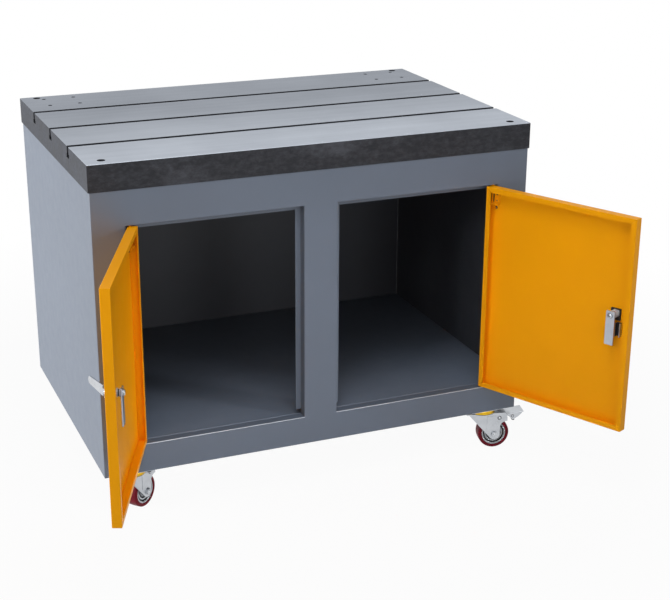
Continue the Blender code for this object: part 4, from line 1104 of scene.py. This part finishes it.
def make_cam_bolt():
    """The cam's domed screw with a cross slot, standing a little off its washer."""
    under = CAM_FACE + CAM_THICK + GAP
    crown = under + CAM_BOLT_HEIGHT
    washer = under + 0.0010
    head = CAM_BOLT_HEAD
    neck = head - 0.0012
    profile = [(0, under - GAP), (head + 0.0006, under - GAP), (head + 0.0009, under + GAP),
               (head + 0.0007, washer), (neck, washer), (neck, washer + 0.0005), (head, washer + 0.0007),
               (head, crown - 0.0014), (head - 0.0008, crown - 0.0005), (head - 0.0024, crown), (0, crown)]
    bolt = lathe("cam_screw", profile, "Y", sides=40)
    arm = 0.0007
    reach = 0.0034
    cross = crown - 0.0018
    for x, z in ((reach, arm), (arm, reach)):
        combine(bolt, [block("cross", (-x, cross, -z), (x, crown + arm, z))])

    def is_painted_shade(spot, normal):
        """Painted shade in the gap over the washer and on the floor of the cross."""
        in_cross = max(abs(spot.x), abs(spot.z)) < reach and spot.y < cross + 0.0002
        return washer - TINY < spot.y < washer + 0.0006 or in_cross

    paint(bolt, BRIGHT_ZINC)
    paint_faces(bolt, BLACK_OXIDE_AND_PAINTED_SHADE, is_painted_shade)
    return bolt


def make_clip():
    """The channel that clamps the housing to the door: bright zinc, with painted shade on its floor and its
    -X wall.
    """
    half = CLIP_WIDTH / 2
    foot = DOOR_SHEET + GAP
    inner = half - CLIP_SHEET
    floor = foot + CLIP_SHEET
    top = foot + CLIP_HEIGHT
    outline = [(-half, foot), (half, foot), (half, top), (inner, top), (inner, floor), (-inner, floor),
               (-inner, top), (-half, top)]
    clip = cut_out("clamp_clip", outline, "Z", CLIP_TOP - CLIP_LENGTH, CLIP_TOP, (CLIP_X, 0))
    ease_edges(SMALL_EDGE, 2, STEEP_TURN)
    paint(clip, BRIGHT_ZINC)
    # Painted shade inside the channel and on its -X wall.
    paint_faces(clip, BLACK_OXIDE_AND_PAINTED_SHADE, lambda spot, normal: normal.y > FACING and spot.y < foot + CLIP_HEIGHT / 2
                or abs(normal.x) > FACING and spot.x < CLIP_X)
    return clip


def place_doors():
    """Copy the door's pieces to both doors, mirrored for the right one, at the angles of the joints."""
    lock = Matrix.Translation((LOCK_X, -PIVOT_FROM_FACE, LOCK_Z))
    still = Matrix.Identity(4)
    kit = [
        (make_door_pan(), still, "door_leaf", "orange_paint", ["door"]),
        (make_hinge_pin(), still, "pin", "orange_paint", ["hinge_pin"]),
        (make_pin_guide(), still, "door_leaf", "orange_paint", ["pin_guide"]),
        (make_pin_shade_strip(), still, "door_leaf", "black_steel", []),
        (make_lock_plate(), lock, "door_leaf", "chrome", ["lock_housing"]),
        (make_lock_body(), lock, "door_leaf", "black_steel", []),
        (make_stud(), lock, "door_leaf", "black_steel", []),
        (make_spindle(), lock, "lock", "chrome", ["lock_spindle"]),
        (make_lever(), lock, "handle", "chrome", ["lever"]),
        (make_button(), lock, "button", "chrome", ["lock_button"]),
        (make_cam(), lock, "lock", "zinc_plate", ["cam"]),
        (make_cam_bolt(), lock, "lock", "zinc_plate", ["cam_bolt"]),
        (make_clip(), lock, "door_leaf", "zinc_plate", ["lock_clip"]),
    ]
    for pattern, offset, body, slot, nodes in kit:
        for side, hand in HANDS.items():
            opened = math.radians(JOINTS[side + "_door_hinge"]["range_deg"][1])
            pivot = hinge_pivot(side)
            hinge = Matrix.Translation((pivot.x, pivot.y, 0)) @ Matrix.Rotation(-hand * opened, 4, "Z")
            mirror = Matrix.Diagonal((hand, 1, 1, 1))
            copy = copy_piece(pattern, side + "_" + pattern.name, hinge @ mirror @ offset)
            finish_piece(copy, side + "_" + body, [side + "_" + node for node in nodes])
        bpy.data.objects.remove(pattern)


# Casters, in a frame on the swivel axis where +X is the trailing side and the floor is z = 0

def make_caster_plate():
    """The fixed plate with its riveted kingpin."""
    length = PLATE_HALF_LENGTH
    width = PLATE_HALF_WIDTH
    outline = rounded(-length, length, -width, width, PLATE_CORNER)
    plate = cut_out("top_plate", outline, "Z", PLATE_BOTTOM, PLATE_TOP)
    ease_edges(SMALL_EDGE, 2, STEEP_TURN)
    edge = 0.0008
    top = CROWN_BOTTOM - GAP
    low = top - 0.003
    end = PLATE_BOTTOM + GAP
    profile = [(0, low), (KINGPIN_HEAD - edge, low), (KINGPIN_HEAD, low + edge), (KINGPIN_HEAD, top),
               (KINGPIN, top), (KINGPIN, end), (0, end)]
    return paint(join(plate, lathe("kingpin", profile)), BRIGHT_ZINC)


def make_plate_screw():
    """A hexagon screw with its washer, under one corner of the plate."""
    seat = PLATE_BOTTOM
    washer = 0.0062
    low = seat - 0.0011
    head_low = seat - 0.0052
    head_across = 0.0100
    spot = (PLATE_HALF_LENGTH - PLATE_HOLE_INSET, PLATE_HALF_WIDTH - PLATE_HOLE_INSET)
    profile = [(0, seat + GAP), (washer, seat + GAP), (0.0064, seat - 0.0006), (washer, low), (0, low)]
    screw = lathe("plate_screw", profile, "Z", (*spot, 0), sides=28)
    head = cut_out("head", hexagon(head_across), "Z", head_low, low + 0.0001, spot)
    ease_edges(NUT_EDGE, 2, HEX_TURN)
    return paint(join(screw, head), BLACK_OXIDE_AND_PAINTED_SHADE)


def make_swivel_ring():
    """The bearing ring: rounded edges and a groove round its middle."""
    edge = 0.0012
    groove = RING_RADIUS - 0.0007
    groove_z = 0.0969
    profile = [(KINGPIN_BORE, RING_TOP), (RING_RADIUS - 2 * edge, RING_TOP),
               (RING_RADIUS - edge * 0.6, RING_TOP - edge * 0.6), (RING_RADIUS, RING_TOP - 2 * edge),
               (RING_RADIUS, groove_z + 0.0007), (groove, groove_z + 0.0003), (groove, groove_z - 0.0003),
               (RING_RADIUS, groove_z - 0.0007),
               (RING_RADIUS, RING_BOTTOM + edge), (RING_RADIUS - edge, RING_BOTTOM),
               (KINGPIN_BORE, RING_BOTTOM)]
    return paint(lathe("bearing_ring", profile, sides=64, ring=True), YELLOW_PLATE)


def leg_outline():
    """One fork leg from the side: down from the crown's front to the axle, hollowed behind."""
    drop = CROWN_BOTTOM - WHEEL_RADIUS
    run = FORK_FRONT + TRAIL
    start = math.pi * 1.5 - math.atan2(drop, run) - math.asin(FORK_BOSS / math.hypot(drop, run))
    boss = arc((TRAIL, WHEEL_RADIUS), FORK_BOSS, start, math.pi * 2, 14)
    top = PEDAL_Z - 2 * PEDAL_BARREL
    width = FORK_BACK - TRAIL - FORK_BOSS
    hollow = [(FORK_BACK + width * x, FORK_WAIST + (top - FORK_WAIST) * z)
              for x, z in arc((0, 0), 1.0, math.pi, math.pi / 2, 10)]
    rim = (CROWN_BOTTOM + CROWN_TOP) / 2
    return [(-FORK_FRONT, rim)] + boss + hollow + [(FORK_BACK, PEDAL_Z), (FORK_BACK - PEDAL_BARREL, rim)]


def make_fork():
    """Crown and legs folded from one sheet, a pressed panel on each leg and a round seat for the ring."""
    back = FORK_BACK - PEDAL_BARREL
    fork = block("caster_fork", (-CROWN_FRONT, -LEG_OUTSIDE, CROWN_BOTTOM), (back, LEG_OUTSIDE, CROWN_TOP))
    ease_edges(CROWN_CORNER, 4, STEEP_TURN, lambda spot: abs(abs(spot.y) - LEG_OUTSIDE) < TINY
               and min(abs(spot.x + CROWN_FRONT), abs(spot.x - back)) < TINY)
    for side in BOTH_SIDES:
        combine(fork, [cut_out("leg", leg_outline(), "Y", side * LEG_INSIDE, side * LEG_OUTSIDE)], "UNION")
    proud = LEG_OUTSIDE + PANEL_PROUD
    root = (LEG_INSIDE + LEG_OUTSIDE) / 2
    outline = [(0.009, 0.0845), (0.009, 0.0475), (0.0395, 0.0475), (0.0395, 0.066), (0.0315, 0.072),
               (0.0315, 0.0845)]
    for side in BOTH_SIDES:
        panel = cut_out("panel", outline, "Y", side * root, side * proud)
        ease_edges(PANEL_CORNER, 3, STEEP_TURN,
                   lambda spot: abs(abs(spot.y) - (root + proud) / 2) < TINY)
        combine(fork, [panel], "UNION")
    seat_low = CROWN_BOTTOM + 0.0008
    profile = [(0, seat_low), (RING_RADIUS, seat_low), (RING_RADIUS, CROWN_TOP), (0, CROWN_TOP)]
    combine(fork, [lathe("seat", profile, sides=64)], "UNION")
    drill(fork, KINGPIN_BORE, "Z", CROWN_BOTTOM - SHEET, CROWN_TOP + SHEET, (0, 0, 0))
    start_shaping(fork)
    ease_edges(SMALL_EDGE, 2, HEX_TURN)
    return paint(fork, BRIGHT_ZINC)


def make_wheel_core():
    """The pale core: a hub, a stepped web with ring grooves and a rim under the tread."""
    hub = LEG_INSIDE - 0.0004
    web = 0.0120
    groove = 0.0076
    half = [(AXLE_RADIUS + 0.0005, hub), (0.0085, hub), (0.0092, hub - 0.0007), (0.0105, 0.0150),
            (0.0112, 0.0112), (0.0146, 0.0108), (0.0152, groove), (0.0172, groove), (0.0177, 0.0114),
            (0.0183, web), (0.0216, web), (0.0222, 0.0114), (0.0227, groove), (0.0248, groove),
            (0.0252, 0.0130), (0.0257, RIM_HALF - 0.0004), (0.0264, RIM_HALF), (CORE_RADIUS, RIM_HALF)]
    core = lathe("wheel_centre", both_ways(half), "Y", (TRAIL, 0, WHEEL_RADIUS), sides=64, ring=True)
    paint(core, PALE_CORE)
    # Painted shade in the ring grooves of the web.
    shade_from = 0.0050
    shade_to = 0.0105
    paint_faces(core, GROOVE_PAINTED_SHADE, lambda spot, normal: shade_from < abs(spot.y) < shade_to)
    return core


def make_tyre():
    """The tread: crowned, with rounded shoulders and a small step onto the core."""
    seat = CORE_RADIUS + GAP
    shoulder = 0.0042
    foot = WHEEL_RADIUS - 0.0003 - shoulder
    half = [(seat, RIM_HALF), (seat + 0.0006, RIM_HALF + 0.0008), (seat + 0.0020, WHEEL_HALF)]
    half += [(foot + radius, WHEEL_HALF - shoulder + along)
             for along, radius in arc((0, 0), shoulder, 0, math.pi / 2, 6)]
    half.append((WHEEL_RADIUS, 0.006))
    tyre = lathe("wheel_tread", both_ways(half), "Y", (TRAIL, 0, WHEEL_RADIUS), sides=80, ring=True)
    return paint(tyre, RED_TREAD)


def make_axle():
    """The axle bolt, with a washer, a hexagon nut and the thread's end on both sides."""
    seat = LEG_OUTSIDE + GAP
    washer = seat + 0.0012
    washer_radius = 0.0078
    nut_end = seat + 0.0048
    nut_across = 0.0130
    tip = seat + 0.0060
    edge = 0.0008
    half = [(0, tip), (AXLE_RADIUS - edge, tip), (AXLE_RADIUS, tip - edge), (AXLE_RADIUS, washer),
            (washer_radius, washer), (0.0080, seat + 0.0003), (washer_radius, seat), (AXLE_RADIUS, seat)]
    pieces = [lathe("axle_bolt", both_ways(half), "Y", (TRAIL, 0, WHEEL_RADIUS))]
    for side in BOTH_SIDES:
        pieces.append(cut_out("nut", hexagon(nut_across), "Y", side * (washer - GAP / 2), side * nut_end,
                              (TRAIL, WHEEL_RADIUS)))
        ease_edges(NUT_EDGE, 2, HEX_TURN)
    return paint(join(*pieces), BRIGHT_ZINC)


def make_pedal():
    """The brake pedal: a bent tread, skirts, a second pin and a rubber foot on a riveted cross pin."""
    pivot = (PEDAL_X, PEDAL_Z)
    tread = [(0, 0.0042), (0.0215, 0.00545), (0.024, 0.0076), (0.060, 0.0125), (0.060, 0.0100),
             (0.0265, 0.0051)]
    foot = [(0.037, -0.008), (0.0345, -0.00925), (0.0215, 0.0026)]
    shoe = [(0.0185, -0.0025), (0.0135, -0.0079), (0.0025, -0.0042)]
    pedal = cut_out("brake_lever", tread + foot + shoe, "Y", -PEDAL_HALF, PEDAL_HALF, pivot)
    ease_edges(SOFT_EDGE, 2, PEDAL_TURN)
    skirt = [(0.024, 0.0065), (0.0575, 0.0112), (0.0555, 0.0070), (0.047, -0.001), (0.0358, -0.0080)]
    inner = PEDAL_HALF - 0.0025
    outer = PEDAL_HALF - GAP
    for side in BOTH_SIDES:
        combine(pedal, [cut_out("skirt", skirt, "Y", side * inner, side * outer, pivot)], "UNION")
    seat = LEG_OUTSIDE + GAP
    rivet_dip = seat + 0.0004
    half = [(0, seat + 0.0019), (0.0024, seat + 0.0018), (0.0031, seat + 0.0014), (0.0033, rivet_dip),
            (0.0044, rivet_dip), (0.0046, seat + 0.0010), (0.0050, seat + 0.0006), (0.005, seat),
            (0.003, seat), (0.003, PEDAL_HALF), (PEDAL_BARREL, PEDAL_HALF)]
    combine(pedal, [lathe("barrel", both_ways(half), "Y", (PEDAL_X, 0, PEDAL_Z))], "UNION")
    reach = PEDAL_HALF + 0.0006
    boss_dip = reach - 0.0004
    half = [(0, reach), (0.0024, reach), (0.0026, boss_dip), (0.0036, boss_dip), (0.0038, reach),
            (0.0044, reach - 0.0003)]
    boss = lathe("boss", both_ways(half), "Y", (PEDAL_X + 0.0330, 0, PEDAL_Z + 0.0010), sides=28)
    combine(pedal, [boss], "UNION")
    paint(pedal, BRIGHT_ZINC)
    # Painted shade in the dips round the rivet and the boss.
    paint_faces(pedal, BLACK_OXIDE_AND_PAINTED_SHADE, lambda spot, normal: abs(normal.y) > FACING
                and min(abs(abs(spot.y) - rivet_dip), abs(abs(spot.y) - boss_dip)) < TINY)
    pad_edge = 0.0010
    near = PEDAL_X + 0.0325
    far = near + 0.0060
    low = PEDAL_Z - 0.0108
    width = PEDAL_HALF - pad_edge
    pad = block("pad", (near, -width, low), (far, width, low + 0.0040))
    ease_edges(pad_edge)
    return join(pedal, paint(pad, BLACK_RUBBER_AND_PAINTED_SHADE))


def place_casters():
    """Copy the caster's pieces to the four corners, each turned as its wheel's axle lies."""
    kit = [
        (make_caster_plate(), False, "", "zinc_plate", ["caster_plate"]),
        (make_swivel_ring(), True, "caster", "yellow_ring", ["swivel_ring"]),
        (make_fork(), True, "caster", "zinc_plate", ["fork"]),
        (make_axle(), True, "caster", "zinc_plate", ["axle"]),
        (make_wheel_core(), True, "wheel", "grey_core", ["wheel_core"]),
        (make_tyre(), True, "wheel", "red_tread", ["tyre"]),
        (make_pedal(), True, "pedal", "zinc_plate", ["brake_pedal"]),
    ]
    screw = make_plate_screw()
    for corner in CORNERS:
        spot = Matrix.Translation(Vector((*JOINTS[corner + "_swivel"]["pos_m"][:2], 0)))
        axis = JOINTS[corner + "_wheel_spin"]["axis"]
        turned = spot @ Matrix.Rotation(math.atan2(-axis[0], axis[1]), 4, "Z")
        for pattern, turns, body, slot, nodes in kit:
            copy = copy_piece(pattern, corner + "_" + pattern.name, turned if turns else spot)
            body = corner + "_" + body if body else "cabinet"
            finish_piece(copy, body, [corner + "_" + node for node in nodes])
        for number, (x, y) in enumerate(((1, 1), (1, -1), (-1, 1), (-1, -1))):
            mirror = Matrix.Diagonal((x, y, 1, 1))
            copy = copy_piece(screw, corner + "_plate_screw_" + str(number + 1), spot @ mirror)
            finish_piece(copy, "cabinet")
    for pattern in [row[0] for row in kit] + [screw]:
        bpy.data.objects.remove(pattern)


# Studio

def is_seen(finish):
    """1 for rays from the camera and for those that a gloss or a glass sends on."""
    path = finish.node("ShaderNodeLightPath", output="Is Camera Ray")
    outputs = path.socket.node.outputs
    glossy = Wire(finish, outputs["Is Glossy Ray"])
    through = Wire(finish, outputs["Is Transmission Ray"])
    return path.math("MAXIMUM", path, path.math("MAXIMUM", glossy, through))


class Backdrop(Finish):
    """The node tree of the world, with the same tools as a finish."""

    def __init__(self, tree):
        self.tree = tree


def make_floor():
    """A floor that shows white, with faint shadows near the stand."""
    clear_bench()
    bpy.ops.mesh.primitive_plane_add(size=FLOOR_SIZE, location=(0, 0, -FLOOR_DROP))
    floor = bpy.context.object
    floor.name = "studio_floor"
    finish = Finish("studio_floor", Roughness=1.0, Base_Color=FLOOR_COLOUR, Specular_IOR_Level=0.0)
    glow = finish.node("ShaderNodeEmission", {"Color": WHITE, "Strength": 1.0})
    away = finish.node("ShaderNodeVectorMath", {0: finish.place()}, "Value", operation="LENGTH")
    fade = finish.spread(away, FLOOR_EDGE, 2 * FLOOR_EDGE)
    factor = is_seen(finish) * (FLOOR_WHITE + fade * (1 - FLOOR_WHITE))
    lit = Wire(finish, finish.shader.outputs[0])
    mixed = finish.node("ShaderNodeMixShader", {0: factor, 1: lit, 2: glow})
    out = finish.tree.nodes["Material Output"]
    finish.tree.links.new(mixed.socket, out.inputs["Surface"])
    paint(floor, finish.material)


def make_world():
    """White where it is seen, and a plain dim light everywhere else."""
    world = bpy.data.worlds.new("studio")
    bpy.context.scene.world = world
    world.use_nodes = True
    air = Backdrop(world.node_tree)
    air.tree.nodes.clear()
    dim = air.node("ShaderNodeBackground", {"Color": AMBIENT_COLOUR, "Strength": AMBIENT})
    white = air.node("ShaderNodeBackground", {"Color": WHITE, "Strength": 1.0})
    mixed = air.node("ShaderNodeMixShader", {0: is_seen(air), 1: dim, 2: white})
    out = air.tree.nodes.new("ShaderNodeOutputWorld")
    air.tree.links.new(mixed.socket, out.inputs["Surface"])


def hang_lamp(name, place, target, width, height, power, beam=180):
    """A softbox aimed at a target. A narrow beam is that of a box with a grid."""
    clear_bench()
    bpy.ops.object.light_add(type="AREA", location=place)
    lamp = bpy.context.object
    lamp.name = name
    lamp.data.shape = "RECTANGLE"
    lamp.data.size = width
    lamp.data.size_y = height
    lamp.data.energy = power
    lamp.data.spread = math.radians(beam)
    lamp.rotation_euler = (Vector(target) - Vector(place)).to_track_quat("-Z", "Y").to_euler()


def light_studio():
    """Soft light from the left, the top and the front, and a gridded box for the inside of each door."""
    hang_lamp("left_softbox", (-3.2, 0.5, 0.42), (0, 0.2, 0.42), 1.6, 0.72, 88)
    hang_lamp("top_softbox", (-0.3, -1.3, 2.8), (0, -0.3, 0.3), 1.2, 0.8, 20)
    hang_lamp("front_left_softbox", (-1.3, -2.6, 2.8), (0, -0.3, 0.4), 1.4, 1.2, 18)
    hang_lamp("front_softbox", (0.1, -3.4, 0.6), (0, -0.33, 0.45), 0.8, 0.8, 0.8, 45)
    hang_lamp("right_grid_box", (2.2, -2.6, 1.4), (-0.22, -0.4, 0.31), 0.5, 0.5, 0.42, 15)
    hang_lamp("left_grid_box", (-2.2, -2.0, 1.6), (0.55, -0.45, 0.42), 0.5, 0.5, 0.36, 20)


def set_camera():
    """The camera of the photograph: its lens, shift, heading and place."""
    yaw = math.radians(22.396)
    pitch = math.radians(-20.364)
    roll = math.radians(0.2)
    focal_px = 1432.5
    picture_px = 670
    shift_right_px = 9.883
    shift_up_px = 5.194
    ahead = Vector((math.sin(yaw) * math.cos(pitch), math.cos(yaw) * math.cos(pitch), math.sin(pitch)))
    right = Vector((math.cos(yaw), -math.sin(yaw), 0))
    up = right.cross(ahead)
    across = right * math.cos(roll) + up * math.sin(roll)
    upward = up * math.cos(roll) - right * math.sin(roll)
    view = Matrix((across, upward, -ahead)).transposed().to_4x4()
    view.translation = (-1.1061, -3.0394, 1.5175)
    clear_bench()
    bpy.ops.object.camera_add()
    camera = bpy.context.object
    camera.matrix_world = view
    camera.data.sensor_width = 36
    camera.data.lens = focal_px * camera.data.sensor_width / picture_px
    camera.data.shift_x = shift_right_px / picture_px
    camera.data.shift_y = shift_up_px / picture_px
    bpy.context.scene.camera = camera


set_camera()
make_table_plate()
make_table_screws()
make_front_frame()
make_panels()
make_cabinet_floor()
make_angle_frame()
place_doors()
place_casters()
make_floor()
make_world()
light_studio()
bpy.context.scene.view_settings.view_transform = "Standard"
